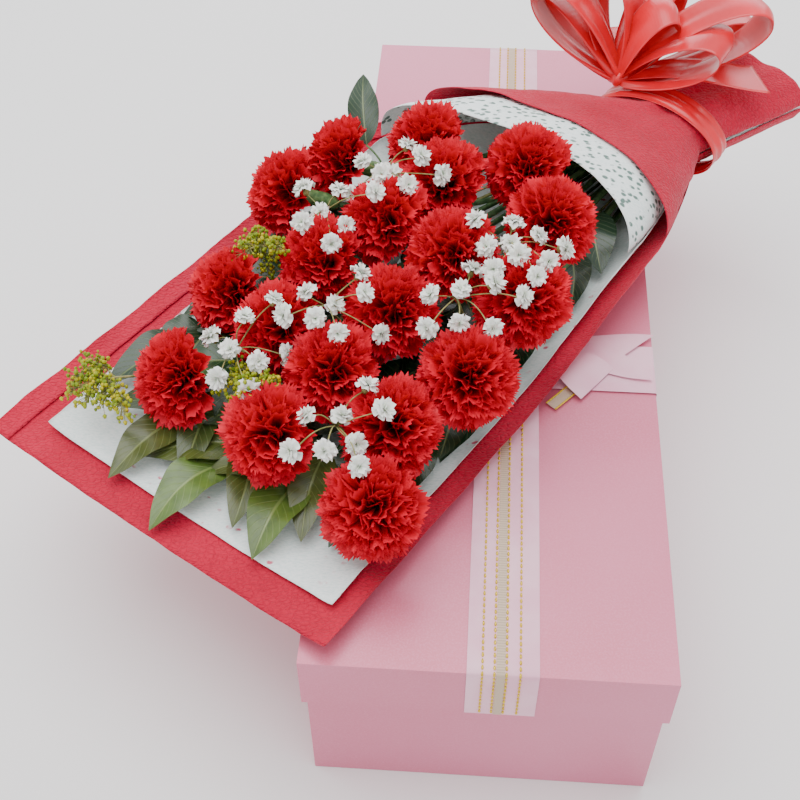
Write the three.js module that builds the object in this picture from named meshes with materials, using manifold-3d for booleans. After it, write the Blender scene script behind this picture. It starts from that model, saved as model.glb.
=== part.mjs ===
// A wrapped bouquet of carnations lying across a closed, lidded gift box.
// Millimetres, +Z up. The origin is the middle of the box's underside, +Y runs
// along the box to its far end and +X to its right side.
import * as THREE from "three";
import { mergeVertices } from "three/addons/utils/BufferGeometryUtils.js";
import Module from "manifold-3d";

const { lerp, degToRad } = THREE.MathUtils;
const wasm = await Module();
wasm.setup();

// ---- Box ----
const LID_WIDTH = 220;
const LID_LENGTH = 638;
const BOX_HEIGHT = 136;
const LID_DEPTH = 45;
const BOARD = 2;
const LID_SLIP = 1;
const TOUCH_GAP = 0.3;

// ---- Ribbons and small bow on the lid ----
const LID_RIBBON_WIDTH = 42;
const LID_RIBBON_X = 9;
const CROSS_RIBBON_WIDTH = 44;
const CROSS_RIBBON_Y = -74;
const LID_RIBBON_THICKNESS = 0.5;
const BOX_BOW_X = 27;
const BOX_BOW_KNOT_WIDTH = 16;
const BOX_BOW_KNOT_HEIGHT = 2.6;
const BOX_BOW_LOOP = 34;
const BOX_BOW_TAIL = 66;

// ---- Where the bouquet lies on the lid ----
const BOUQUET_FOOT_X = -217;
const BOUQUET_FOOT_Y = -236;
const BOUQUET_TURN = degToRad(-32.5);

// ---- Carnations ----
const HEAD_DIAMETER = 50;
const HEAD_GAP = HEAD_DIAMETER * 0.12;
const CALYX_DIAMETER = HEAD_DIAMETER * 0.26;
const CALYX_LENGTH = HEAD_DIAMETER * 0.48;
const STEM_DIAMETER = 4.4;
const STEM_GAP = 0.8;
const BED_GAP = 1.7;
const BED_CLEARANCE = 1.6;
const STEM_COLUMN = 7;

// ---- Wrapping papers ----
const PAPER = 1.2;
const PAPER_GAP = 1.1;
const RED_WIDTH = 282;
const RED_SHIFT = 6;
const RED_EDGE_RISE = 8;
const WHITE_BORDER = 19;
const WHITE_SHIFT = 14;
const WHITE_MARGIN = 24;
const WHITE_RIM_GAP = 4;
const COLLAR_STEP = 40;
const COLLAR_CROWN = 92;
const FUNNEL_LENGTH = 122;
const FUNNEL_CURVE = 1.3;
const NECK_SIDE = 70;
const NECK_FULLNESS = 5;
const HANDLE_LENGTH = 108;
const HANDLE_SLOPE = 0.27;
const HANDLE_FLARE = 0.1;

// ---- Twine, satin ribbon and its bow ----
const TWINE = 1.8;
const TWINE_WIDTH = 16;
const SATIN = 1;
const SATIN_WIDTH = 38;
const SATIN_ROOT = 9;
const BOW_KNOT = 20;
const BOW_KNOT_LEAN = degToRad(-38);

// ---- Leaves, baby's breath and goldenrod ----
const LEAF_THICKNESS = 1;
const LEAF_REST = 2.2;
const LEAF_LENGTH = 72;
const LEAF_WIDTH = 34;
const LEAF_STEP = 16;
const LEAF_STAGGER = 0.3;
const LEAF_SPLAY = degToRad(38);
const TWIG_DIAMETER = 2.4;
const TWIG_COLUMN = 4.6;
const SPRIG_DIAMETER = 1.8;
const FLORET_DIAMETER = 11;
const FLORET_SPREAD = FLORET_DIAMETER * 1.15;
const BUD_DIAMETER = 9;
const SPRIG_RISE = 21;

// Sizes that follow from those above.
const headPitch = HEAD_DIAMETER + HEAD_GAP;
const headRadius = HEAD_DIAMETER / 2;
const headToCalyxFoot = CALYX_LENGTH + headRadius * 0.88;
const layerPitch = STEM_DIAMETER + STEM_GAP;
const paperStep = PAPER + PAPER_GAP;
const whiteWidth = RED_WIDTH - 2 * WHITE_BORDER;
const crossLift = 2 * TOUCH_GAP + LID_RIBBON_THICKNESS;
const boxBowLift = crossLift + LID_RIBBON_THICKNESS + TOUCH_GAP;
const paperRest = boxBowLift + BOX_BOW_KNOT_HEIGHT + TOUCH_GAP;
const whiteFloor = paperRest + paperStep + PAPER;
const leafLevel = TWIG_DIAMETER + TOUCH_GAP;
const twigTop = whiteFloor + LEAF_REST + leafLevel + TWIG_DIAMETER;
const firstBed = twigTop + BED_CLEARANCE + STEM_DIAMETER / 2;
const bedPitch = STEM_DIAMETER + BED_GAP;

// Heads by row, as evenly stepped runs, in head pitches: where the run's first
// head lies across and along from the papers' foot, and the step to the next.
// crest and tilt are the row's height above the lowest stems and its lift above
// level at the bouquet's crest. A row's stems share one layer of the bundle.
const HEAD_ROWS = [
  { crest: 0.64, tilt: 40, runs: [{ from: [-0.75, 1.45], step: [1.5, -0.1], count: 3 }] },
  { crest: 0.85, tilt: 50, runs: [{ from: [-1.15, 2.8], step: [1, -0.23], count: 4 }] },
  { crest: 1.05, tilt: 54, runs: [{ from: [-0.35, 3.65], step: [1.27, -0.28], count: 3 }] },
  {
    crest: 1.25,
    tilt: 57,
    runs: [
      { from: [-1.6, 4.45], step: [0, 0], count: 1 },
      { from: [0, 4.5], step: [1.05, -0.08], count: 3 },
    ],
  },
  {
    crest: 1.2,
    tilt: 54,
    runs: [
      { from: [-1.45, 5.4], step: [1.55, 0.13], count: 3 },
      { from: [-0.6, 6.15], step: [1.45, 0.2], count: 2 },
    ],
  },
];

// The crest's place across, and what a head a pitch aside of it loses in height
// (pitches) and tilt (degrees), which grow as the square, and turns (degrees).
const CREST_ACROSS = 0.9;
const CREST_FALL = 0.06;
const TILT_FALL = 5;
const ASIDE_TURN = 4;

// Sprigs rise in the middle of the gap between heads, each named by its row and
// its place in the row. Each one's stem runs in the layer that it is listed
// under. beside is how far the sprig stands from that middle, in head pitches.
const SPRIG_ROWS = [
  [
    { kind: "breath", gap: [[0, 0], [1, 1]], beside: [0.2, 0.05] },
    { kind: "breath", gap: [[0, 1], [0, 2], [1, 2], [1, 3]] },
    { kind: "goldenrod", gap: [[0, 0]], beside: [-0.6, -0.35] },
    { kind: "goldenrod", gap: [[0, 1], [1, 1]] },
  ],
  [
    { kind: "breath", gap: [[1, 1], [1, 2], [2, 0], [2, 1]] },
    { kind: "goldenrod", gap: [[1, 0], [2, 0], [3, 0]] },
  ],
  [
    { kind: "breath", gap: [[2, 0], [3, 0], [3, 1]] },
    { kind: "breath", gap: [[2, 1], [2, 2], [3, 2], [3, 3]] },
  ],
  [
    { kind: "breath", gap: [[3, 1], [4, 0], [4, 1]] },
    { kind: "breath", gap: [[3, 2], [3, 3], [4, 2]] },
  ],
  [],
];

// How far a sprig's top stands above the heads beside it, in head pitches.
const GAP_RISE = { breath: 0.44, goldenrod: 0.34 };

// Leafy twigs under everything else: a fan along the papers' foot and one at
// each side. Shares are of the white sheet's half width, from its middle.
const FRONT_TWIGS = 5;
const FRONT_TWIG_SHARE = 0.78;
const FRONT_TWIG_ALONG = 1.3;
const FRONT_TWIG_BOW = 1.1;
const SIDE_TWIG_SHARE = 0.8;
const SIDE_TWIG_ALONG = 3.9;

function headAt(row, run, i) {
  const across = run.from[0] + i * run.step[0];
  const along = run.from[1] + i * run.step[1];
  const aside = across - CREST_ACROSS;
  return {
    across,
    along,
    height: row.crest - CREST_FALL * aside * aside,
    tilt: row.tilt - TILT_FALL * aside * aside,
    turn: -ASIDE_TURN * aside,
  };
}

const headRows = HEAD_ROWS.map((row) =>
  row.runs.flatMap((run) => Array.from({ length: run.count }, (_, i) => headAt(row, run, i))),
);

function sprigAt({ kind, gap, beside = [0, 0] }) {
  const around = gap.map(([row, place]) => headRows[row][place]);
  const middle = (key) => around.reduce((sum, head) => sum + head[key], 0) / around.length;
  return {
    kind,
    across: middle("across") + beside[0],
    along: middle("along") + beside[1],
    height: middle("height") + GAP_RISE[kind],
  };
}

const sprigRows = SPRIG_ROWS.map((row) => row.map(sprigAt));

// A fan's neighbours lie on different leaf levels, so that their leaves pass.
const frontTwigs = Array.from({ length: FRONT_TWIGS }, (_, i) => {
  const fan = (2 * i) / (FRONT_TWIGS - 1) - 1;
  const along = FRONT_TWIG_ALONG + FRONT_TWIG_BOW * fan * fan;
  return { across: fan * FRONT_TWIG_SHARE, along, level: i % 2 };
});
const sideTwigs = [-1, 1].map((side) => ({
  across: side * SIDE_TWIG_SHARE,
  along: SIDE_TWIG_ALONG,
  level: 1,
}));
const twigs = [...frontTwigs, ...sideTwigs];

// ---- Places along the bouquet, measured from the papers' foot ----
const lastHead = Math.max(...headRows.flat().map((head) => head.along)) * headPitch;
const whiteRim = lastHead + headRadius + WHITE_RIM_GAP;
const redRim = whiteRim + COLLAR_STEP;
const tieAlong = whiteRim + FUNNEL_LENGTH;
const handleEnd = tieAlong + HANDLE_LENGTH;

// The tie is an oval round the packed stems, whose layers lie one above the
// other. The two factors make the oval take in the corners of the packed block.
const stemLayers = headRows.length + 1;
const widestRow = Math.max(
  ...headRows.map((row, index) => row.length + sprigRows[index].length),
);
const bundleHalfHeight = ((stemLayers - 1) * layerPitch + STEM_DIAMETER) / 2;
const bundleHalfWidth = ((widestRow - 1) * STEM_COLUMN + STEM_DIAMETER) / 2;
const twineHalf = bundleHalfWidth * 1.45;
const twineHalfHeight = bundleHalfHeight * 1.4;
const wrapHalfHeight = twineHalfHeight + TWINE + 2 * paperStep + TOUCH_GAP;
const wrapHalf = twineHalf + TWINE + 2 * paperStep + NECK_FULLNESS;
const tieHeight = paperRest + wrapHalfHeight;

const MATERIALS = {
  box: { color: 0xd9949c, roughness: 0.45, metalness: 0.1 },
  ribbon: { color: 0xf2c4d2, roughness: 0.35, metalness: 0 },
  redPaper: { color: 0xc8324f, roughness: 0.75, metalness: 0 },
  whitePaper: { color: 0xdfeeee, roughness: 0.8, metalness: 0 },
  satin: { color: 0xe63a4c, roughness: 0.28, metalness: 0 },
  twine: { color: 0xcbb98f, roughness: 0.9, metalness: 0 },
  petal: { color: 0xd00a16, roughness: 0.6, metalness: 0 },
  leaf: { color: 0x2f5a2b, roughness: 0.45, metalness: 0 },
  floret: { color: 0xf4f4ee, roughness: 0.7, metalness: 0 },
  bud: { color: 0xb9b832, roughness: 0.7, metalness: 0 },
};

const model = new THREE.Group();
const bouquet = new THREE.Group();
bouquet.position.set(BOUQUET_FOOT_X, BOUQUET_FOOT_Y, BOX_HEIGHT);
bouquet.rotation.z = BOUQUET_TURN;
model.add(bouquet);

function addMesh(parent, name, geometry, material) {
  const mesh = new THREE.Mesh(geometry, new THREE.MeshStandardMaterial(MATERIALS[material]));
  mesh.name = name;
  parent.add(mesh);
  return mesh;
}

// ---- Geometry helpers ----
function closedGeometry(geometry) {
  const bare = geometry.clone();
  for (const name of Object.keys(bare.attributes)) {
    if (name !== "position") bare.deleteAttribute(name);
  }
  return mergeVertices(bare, 1e-4);
}

function toSolid(geometry) {
  const merged = closedGeometry(geometry);
  return new wasm.Manifold(
    new wasm.Mesh({
      numProp: 3,
      vertProperties: merged.attributes.position.array,
      triVerts: new Uint32Array(merged.index.array),
    }),
  );
}

function toGeometry(solid) {
  const mesh = solid.getMesh();
  const geometry = new THREE.BufferGeometry();
  geometry.setAttribute("position", new THREE.BufferAttribute(mesh.vertProperties, 3));
  geometry.setIndex(new THREE.BufferAttribute(mesh.triVerts, 1));
  geometry.computeVertexNormals();
  return geometry;
}

function join(geometries) {
  return geometries.map(toSolid).reduce((whole, piece) => whole.add(piece));
}

function joined(geometries) {
  return toGeometry(join(geometries));
}

// The outer skin alone, where crossing loops would shut small pockets in.
function withoutPockets(solid) {
  return solid.decompose().reduce((most, body) => (body.volume() > most.volume() ? body : most));
}

// A thin slab: a box whose u and v run from 0 to 1 over the sheet and whose w
// runs from 0 on one face to 1 on the other, bent to place(u, v, w).
function slab(across, along, place) {
  const geometry = closedGeometry(new THREE.BoxGeometry(1, 1, 1, across, along, 1));
  const position = geometry.attributes.position;
  for (let i = 0; i < position.count; i += 1) {
    const point = place(position.getX(i) + 0.5, position.getY(i) + 0.5, position.getZ(i) + 0.5);
    position.setXYZ(i, point.x, point.y, point.z);
  }
  geometry.computeVertexNormals();
  return facingOut(geometry);
}

function facingOut(geometry) {
  if (toSolid(geometry).volume() < 0) {
    const index = geometry.index;
    for (let i = 0; i < index.count; i += 3) {
      const first = index.getX(i);
      index.setX(i, index.getX(i + 1));
      index.setX(i + 1, first);
    }
  }
  return geometry;
}

function circleShape(diameter, sides) {
  const shape = new THREE.Shape();
  for (let i = 0; i < sides; i += 1) {
    const angle = (2 * Math.PI * i) / sides;
    const x = (diameter / 2) * Math.cos(angle);
    const y = (diameter / 2) * Math.sin(angle);
    if (i === 0) shape.moveTo(x, y);
    else shape.lineTo(x, y);
  }
  shape.closePath();
  return shape;
}

function tube(curve, diameter, steps, sides) {
  return new THREE.ExtrudeGeometry(circleShape(diameter, sides), {
    steps,
    extrudePath: curve,
    bevelEnabled: false,
  });
}

function straightTube(from, to, diameter, sides) {
  return tube(new THREE.LineCurve3(from, to), diameter, 1, sides);
}

function ball(centre, diameter) {
  return new THREE.IcosahedronGeometry(diameter / 2, 0).translate(centre.x, centre.y, centre.z);
}

// ---- Box and lid ----
const baseOuterWidth = LID_WIDTH - 2 * (BOARD + LID_SLIP);
const baseOuterLength = LID_LENGTH - 2 * (BOARD + LID_SLIP);
const baseHeight = BOX_HEIGHT - BOARD - TOUCH_GAP;

function openTray(width, length, height, wall) {
  const outer = new THREE.BoxGeometry(width, length, height).translate(0, 0, height / 2);
  const inner = new THREE.BoxGeometry(width - 2 * wall, length - 2 * wall, height);
  inner.translate(0, 0, height / 2 + wall);
  return toGeometry(toSolid(outer).subtract(toSolid(inner)));
}

addMesh(model, "box_base", openTray(baseOuterWidth, baseOuterLength, baseHeight, BOARD), "box");

const lid = addMesh(model, "box_lid", openTray(LID_WIDTH, LID_LENGTH, LID_DEPTH, BOARD), "box");
lid.rotation.y = Math.PI;
lid.position.z = BOX_HEIGHT;

// ---- Ribbons over the lid: flat bands that turn down over both edges ----
function bandOverLid(span, width, lift) {
  const inside = span / 2 + TOUCH_GAP;
  const outside = inside + LID_RIBBON_THICKNESS;
  const under = BOX_HEIGHT + lift;
  const over = under + LID_RIBBON_THICKNESS;
  const rim = BOX_HEIGHT - LID_DEPTH;
  const outline = new THREE.Shape();
  outline.moveTo(-outside, rim);
  outline.lineTo(-outside, over);
  outline.lineTo(outside, over);
  outline.lineTo(outside, rim);
  outline.lineTo(inside, rim);
  outline.lineTo(inside, under);
  outline.lineTo(-inside, under);
  outline.lineTo(-inside, rim);
  outline.closePath();
  const band = new THREE.ExtrudeGeometry(outline, { depth: width, bevelEnabled: false });
  band.translate(0, 0, -width / 2);
  band.rotateX(Math.PI / 2);
  return band;
}

const longRibbon = addMesh(
  model,
  "lid_ribbon_long",
  bandOverLid(LID_LENGTH, LID_RIBBON_WIDTH, TOUCH_GAP),
  "ribbon",
);
longRibbon.rotation.z = Math.PI / 2;
longRibbon.position.x = LID_RIBBON_X;

const crossRibbon = addMesh(
  model,
  "lid_ribbon_cross",
  bandOverLid(LID_WIDTH, CROSS_RIBBON_WIDTH, crossLift),
  "ribbon",
);
crossRibbon.position.y = CROSS_RIBBON_Y;

// The small bow lies flat: a knot, two flat loops and two swallow-tail ends.
function flatPiece(outline, turn) {
  const shape = new THREE.Shape();
  outline.forEach(([x, y], i) => (i === 0 ? shape.moveTo(x, y) : shape.lineTo(x, y)));
  shape.closePath();
  const piece = new THREE.ExtrudeGeometry(shape, {
    depth: LID_RIBBON_THICKNESS * 2,
    bevelEnabled: false,
  });
  return piece.rotateZ(turn);
}

function boxBow() {
  const half = LID_RIBBON_WIDTH * 0.42;
  const root = BOX_BOW_KNOT_WIDTH * 0.25;
  const tail = [
    [0, -root],
    [BOX_BOW_TAIL, -half],
    [BOX_BOW_TAIL - half, 0],
    [BOX_BOW_TAIL, half],
    [0, root],
  ];
  const loop = [
    [0, -root],
    [BOX_BOW_LOOP * 0.7, -half],
    [BOX_BOW_LOOP, 0],
    [BOX_BOW_LOOP * 0.7, half],
    [0, root],
  ];
  const pieces = [
    flatPiece(tail, degToRad(12)),
    flatPiece(tail, degToRad(-118)),
    flatPiece(loop, degToRad(-42)),
    flatPiece(loop, degToRad(150)),
  ];
  const knot = new THREE.CylinderGeometry(
    BOX_BOW_KNOT_WIDTH * 0.4,
    BOX_BOW_KNOT_WIDTH * 0.5,
    BOX_BOW_KNOT_HEIGHT,
    10,
  );
  pieces.push(knot.rotateX(Math.PI / 2).translate(0, 0, BOX_BOW_KNOT_HEIGHT / 2));
  return joined(pieces);
}

const bow = addMesh(model, "lid_bow", boxBow(), "ribbon");
bow.position.set(BOX_BOW_X, CROSS_RIBBON_Y, BOX_HEIGHT + boxBowLift);

// ---- The bouquet's own frame: x across, y along from the foot, z above the lid ----
function funnel(along) {
  const share = (along - whiteRim) / FUNNEL_LENGTH;
  return Math.min(1, Math.max(0, share)) ** FUNNEL_CURVE;
}

// The wrap's section at a place along it: an oval at the tie that opens to a
// flat sheet below and a high arch above.
function section(along, width, shift, inset) {
  const gather = funnel(along);
  const past = Math.max(0, along - tieAlong);
  return {
    centre: lerp(shift, NECK_SIDE, gather) + HANDLE_SLOPE * past,
    half: lerp(width / 2, wrapHalf, gather) - inset + HANDLE_FLARE * past,
    low: paperRest + inset,
    side: lerp(paperRest + RED_EDGE_RISE + inset, tieHeight, gather),
    crown: lerp(COLLAR_CROWN, tieHeight + wrapHalfHeight, gather) - inset,
  };
}

// Facets across the papers and cuts along them. Every sheet has the same, so
// that nested sheets keep their gap.
const SHEET_FACETS = 12;
const gatherCuts = [whiteRim, redRim];
for (let i = 1; i <= 4; i += 1) gatherCuts.push(redRim + ((tieAlong - redRim) * i) / 4);
for (let i = 1; i <= 3; i += 1) gatherCuts.push(tieAlong + (HANDLE_LENGTH * i) / 3);
const flatCuts = [0, 1, 2, 3, 4].map((i) => lerp(WHITE_MARGIN, whiteRim, i / 5));

function backSheet(width, shift, cuts, layer) {
  const start = layer * paperStep;
  return slab(SHEET_FACETS, cuts.length - 1, (u, v, w) => {
    const along = cuts[Math.round(v * (cuts.length - 1))];
    const at = section(along, width, shift, start + w * PAPER);
    const angle = (u - 0.5) * Math.PI;
    const x = at.centre + at.half * Math.sin(angle);
    const z = at.side - (at.side - at.low) * Math.cos(angle);
    return new THREE.Vector3(x, along, z);
  });
}

function collar(width, shift, cuts, layer) {
  const start = layer * paperStep;
  return slab(SHEET_FACETS, cuts.length - 1, (u, v, w) => {
    const along = cuts[Math.round(v * (cuts.length - 1))];
    const at = section(along, width, shift, start + w * PAPER);
    const angle = (u - 0.5) * Math.PI;
    const foot = at.side + paperStep * 2;
    const x = at.centre + at.half * Math.sin(angle);
    const z = foot + (at.crown - foot) * Math.cos(angle);
    return new THREE.Vector3(x, along, z);
  });
}

const whiteCuts = [...flatCuts, ...gatherCuts];
const redBack = backSheet(RED_WIDTH, RED_SHIFT, [0, ...whiteCuts], 0);
const whiteBack = backSheet(whiteWidth, WHITE_SHIFT, whiteCuts, 1);
const redFront = collar(RED_WIDTH, RED_SHIFT, gatherCuts.slice(1), 0);
const whiteFront = collar(whiteWidth, WHITE_SHIFT, gatherCuts, 1);
addMesh(bouquet, "red_back_sheet", redBack, "redPaper");
addMesh(bouquet, "white_back_sheet", whiteBack, "whitePaper");
addMesh(bouquet, "red_collar", redFront, "redPaper");
addMesh(bouquet, "white_collar", whiteFront, "whitePaper");

// ---- Ovals round the neck: the twine on the stems and the satin band ----
function ovalBand(half, halfHeight, thickness, width) {
  const profile = [
    new THREE.Vector2(1, -width / 2),
    new THREE.Vector2(2, -width / 2),
    new THREE.Vector2(2, width / 2),
    new THREE.Vector2(1, width / 2),
    new THREE.Vector2(1, -width / 2),
  ];
  const geometry = closedGeometry(new THREE.LatheGeometry(profile, 28));
  const position = geometry.attributes.position;
  for (let i = 0; i < position.count; i += 1) {
    const x = position.getX(i);
    const z = position.getZ(i);
    const radius = Math.hypot(x, z);
    const extra = radius > 1.5 ? thickness : 0;
    const across = (x / radius) * (half + extra);
    const up = (z / radius) * (halfHeight + extra);
    position.setXYZ(i, across, position.getY(i), up);
  }
  return facingOut(geometry);
}

const twine = addMesh(
  bouquet,
  "stem_tie",
  ovalBand(twineHalf, twineHalfHeight, TWINE, TWINE_WIDTH),
  "twine",
);
twine.position.set(NECK_SIDE, tieAlong, tieHeight);

// The satin band sits just behind the twine, clear of the handle's slant and flare.
const bandWidth = SATIN_WIDTH * 0.6;
const bandPast = bandWidth / 2 + 2 * TOUCH_GAP;
const bandHalf = wrapHalf + (HANDLE_FLARE + HANDLE_SLOPE / 2) * bandWidth + paperStep + PAPER_GAP;
const bandHalfHeight = wrapHalfHeight + paperStep / 2 + 2 * TOUCH_GAP;
const bandGeometry = ovalBand(bandHalf, bandHalfHeight, SATIN, bandWidth);
const band = addMesh(bouquet, "satin_band", bandGeometry, "satin");
band.position.set(NECK_SIDE + HANDLE_SLOPE * bandPast, tieAlong + bandPast, tieHeight);

// ---- The satin bow: one ribbon looped again and again through its knot ----
// Loops: heading on the plane of the lid from the bouquet's own +x, lift above
// it, reach from the knot, opening of the loop, and roll about its own line.
const BOW_LOOPS = [
  { heading: 186, lift: 40, reach: 88, opening: 40, roll: 10 },
  { heading: 168, lift: 26, reach: 76, opening: 30, roll: 0 },
  { heading: 138, lift: 62, reach: 84, opening: 36, roll: 40 },
  { heading: 92, lift: 34, reach: 86, opening: 40, roll: 0 },
  { heading: 46, lift: 58, reach: 66, opening: 34, roll: 0 },
  { heading: 38, lift: 28, reach: 112, opening: 44, roll: 0 },
  { heading: 16, lift: 30, reach: 80, opening: 28, roll: 0 },
  { heading: 60, lift: 10, reach: 118, opening: 36, roll: 0 },
];
const BOW_TAILS = [
  { heading: 26, lift: 8, reach: 116, roll: 0 },
  { heading: 120, lift: 14, reach: 62, roll: 0 },
];

function bowFrame({ heading, lift, roll }) {
  const frame = new THREE.Matrix4();
  frame.makeRotationZ(degToRad(heading));
  frame.multiply(new THREE.Matrix4().makeRotationY(degToRad(-lift)));
  frame.multiply(new THREE.Matrix4().makeRotationX(degToRad(roll)));
  return frame;
}

function bowLoop(loop) {
  const frame = bowFrame(loop);
  const ends = 0.25;
  return slab(1, 10, (u, v, w) => {
    const angle = lerp(ends, 2 * Math.PI - ends, v);
    const out = (1 - Math.cos(angle)) / 2;
    const width = lerp(SATIN_ROOT, SATIN_WIDTH, Math.sqrt(out));
    const bulge = loop.opening / 2 - w * SATIN;
    return new THREE.Vector3(
      (loop.reach - w * SATIN) * out,
      (u - 0.5) * width,
      bulge * Math.sin(angle) * Math.sin(angle / 2) + (angle < Math.PI ? 2 : -2) * (1 - out),
    ).applyMatrix4(frame);
  });
}

function bowTail(tail) {
  const frame = bowFrame(tail);
  return slab(1, 5, (u, v, w) => {
    const width = lerp(SATIN_ROOT, SATIN_WIDTH, Math.sqrt(v));
    const wave = 6 * Math.sin(v * Math.PI * 1.4);
    const place = new THREE.Vector3(tail.reach * v, (u - 0.5) * width, wave + w * SATIN);
    return place.applyMatrix4(frame);
  });
}

function satinBow() {
  const knot = new THREE.SphereGeometry(BOW_KNOT / 2, 10, 6);
  const ribbon = [knot, ...BOW_LOOPS.map(bowLoop), ...BOW_TAILS.map(bowTail)];
  return toGeometry(withoutPockets(join(ribbon)));
}

const satinBowMesh = addMesh(bouquet, "satin_bow", satinBow(), "satin");
const knotOut = BOW_KNOT / 2 + SATIN + 3 * TOUCH_GAP;
satinBowMesh.position.copy(band.position);
satinBowMesh.position.x += (bandHalf + knotOut) * Math.sin(BOW_KNOT_LEAN);
satinBowMesh.position.z += (bandHalfHeight + knotOut) * Math.cos(BOW_KNOT_LEAN);

// ---- Stems: each has its own slot in the tie and its own line to its flower ----
function bearingFrom(x, y) {
  return Math.atan2(NECK_SIDE - x, tieAlong - y);
}

function layerHeight(layer) {
  return tieHeight + (layer - (stemLayers - 1) / 2) * layerPitch;
}

// The height at which a layer's stems lie: it rises with the white sheet's edge.
function bedHeight(layer, place) {
  const edgeRise = whiteTop(place.x, place.y) - whiteFloor;
  return firstBed + (layer - 1) * bedPitch + edgeRise;
}

// The cut end behind the tie and the slot in it.
function stemStart(layer, column) {
  const back = HANDLE_LENGTH - 12;
  const slot = new THREE.Vector3(NECK_SIDE + column, tieAlong, layerHeight(layer));
  const cut = new THREE.Vector3(HANDLE_SLOPE * back, back, 0).add(slot);
  return [cut, slot];
}

// A stem runs from its slot down to its layer's bed, then up into its flower.
function stemCurve(layer, column, foot, footDirection) {
  const [cut, slot] = stemStart(layer, column);
  const run = slot.clone().lerp(foot, 0.5);
  run.z = bedHeight(layer, run);
  const before = foot.clone().addScaledVector(footDirection, -slot.distanceTo(foot) * 0.12);
  before.z = Math.max(before.z, bedHeight(layer, before));
  const points = [cut, slot, run, before, foot];
  return new THREE.CatmullRomCurve3(points, false, "catmullrom", 0.12);
}

function headProfile() {
  const stem = STEM_DIAMETER / 2;
  const calyx = CALYX_DIAMETER / 2;
  const waist = headToCalyxFoot - headRadius * 0.82;
  return [
    new THREE.Vector2(0, 0),
    new THREE.Vector2(stem * 1.2, 0),
    new THREE.Vector2(calyx, CALYX_LENGTH * 0.3),
    new THREE.Vector2(calyx * 1.1, waist),
    new THREE.Vector2(headRadius * 0.82, headToCalyxFoot - headRadius * 0.4),
    new THREE.Vector2(headRadius, headToCalyxFoot),
    new THREE.Vector2(headRadius * 0.78, headToCalyxFoot + headRadius * 0.5),
    new THREE.Vector2(0, headToCalyxFoot + headRadius * 0.75),
  ];
}

function placeOf({ across, along, height }) {
  return new THREE.Vector3(across * headPitch, along * headPitch, firstBed + height * headPitch);
}

function carnation(layer, column, head) {
  const centre = placeOf(head);
  const swing = bearingFrom(centre.x, centre.y) + degToRad(head.turn);
  const tilt = degToRad(head.tilt);
  const level = Math.cos(tilt);
  const axis = new THREE.Vector3(
    -Math.sin(swing) * level,
    -Math.cos(swing) * level,
    Math.sin(tilt),
  );
  const foot = centre.clone().addScaledVector(axis, -headToCalyxFoot);
  const turned = new THREE.Quaternion().setFromUnitVectors(new THREE.Vector3(0, 1, 0), axis);
  const bloom = new THREE.LatheGeometry(headProfile(), 10);
  bloom.applyQuaternion(turned).translate(foot.x, foot.y, foot.z);
  const inCalyx = foot.clone().addScaledVector(axis, STEM_DIAMETER);
  return joined([bloom, tube(stemCurve(layer, column, inCalyx, axis), STEM_DIAMETER, 10, 5)]);
}

// ---- Sprigs: a thin stem that rises through a gap between heads and branches ----
function sprigStem(layer, column, top) {
  const [cut, slot] = stemStart(layer, column);
  const bed = bedHeight(layer, top);
  const under = top.clone().setZ(Math.min(bed + 2, top.z - SPRIG_RISE));
  const run = slot.clone().lerp(under, 0.5);
  run.z = bedHeight(layer, run);
  const turn = under.clone().lerp(slot, 0.08);
  turn.z = bedHeight(layer, turn);
  const fork = top.clone().setZ(top.z - SPRIG_RISE);
  const points = [cut, slot, run, turn, fork.clone().setZ((under.z + fork.z) / 2 + 3), fork];
  return [new THREE.CatmullRomCurve3(points, false, "catmullrom", 0.12), fork];
}

function babysBreath(layer, column, place) {
  const top = placeOf(place);
  top.z += FLORET_DIAMETER / 2;
  const [curve, fork] = sprigStem(layer, column, top);
  const pieces = [tube(curve, SPRIG_DIAMETER, 14, 4), ball(fork, SPRIG_DIAMETER * 2)];
  const centres = [top.clone()];
  for (let i = 0; i < 4; i += 1) {
    const angle = (i * Math.PI) / 2 + layer * 0.7;
    const lift = -3 + 2 * (i % 2);
    const offset = new THREE.Vector3(Math.cos(angle), Math.sin(angle), 0);
    offset.multiplyScalar(FLORET_SPREAD).setZ(lift);
    centres.push(top.clone().add(offset));
  }
  for (const centre of centres) {
    pieces.push(straightTube(fork, centre, SPRIG_DIAMETER * 0.8, 3));
    pieces.push(ball(centre, FLORET_DIAMETER));
  }
  return joined(pieces);
}

function goldenrod(layer, column, place) {
  const top = placeOf(place);
  const [curve, fork] = sprigStem(layer, column, top);
  const pieces = [tube(curve, SPRIG_DIAMETER, 14, 4), ball(fork, SPRIG_DIAMETER * 2)];
  for (let i = 0; i < 5; i += 1) {
    const angle = i * 2.4 + layer;
    const spread = 4 + 2 * i;
    const height = -4 - 3 * (i % 2);
    const offset = new THREE.Vector3(Math.cos(angle) * spread, Math.sin(angle) * spread, height);
    const bud = top.clone().add(offset);
    pieces.push(straightTube(fork, bud, SPRIG_DIAMETER * 0.8, 3));
    pieces.push(ball(bud, BUD_DIAMETER));
  }
  return joined(pieces);
}

// ---- Leafy twigs: they lie on the white sheet and follow its surface ----
function whiteTop(x, y) {
  const at = section(y, whiteWidth, WHITE_SHIFT, paperStep + PAPER);
  const sine = Math.min(1, Math.abs(x - at.centre) / at.half);
  const dip = (at.side - at.low) * Math.sqrt(1 - sine * sine);
  return at.side - dip;
}

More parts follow.
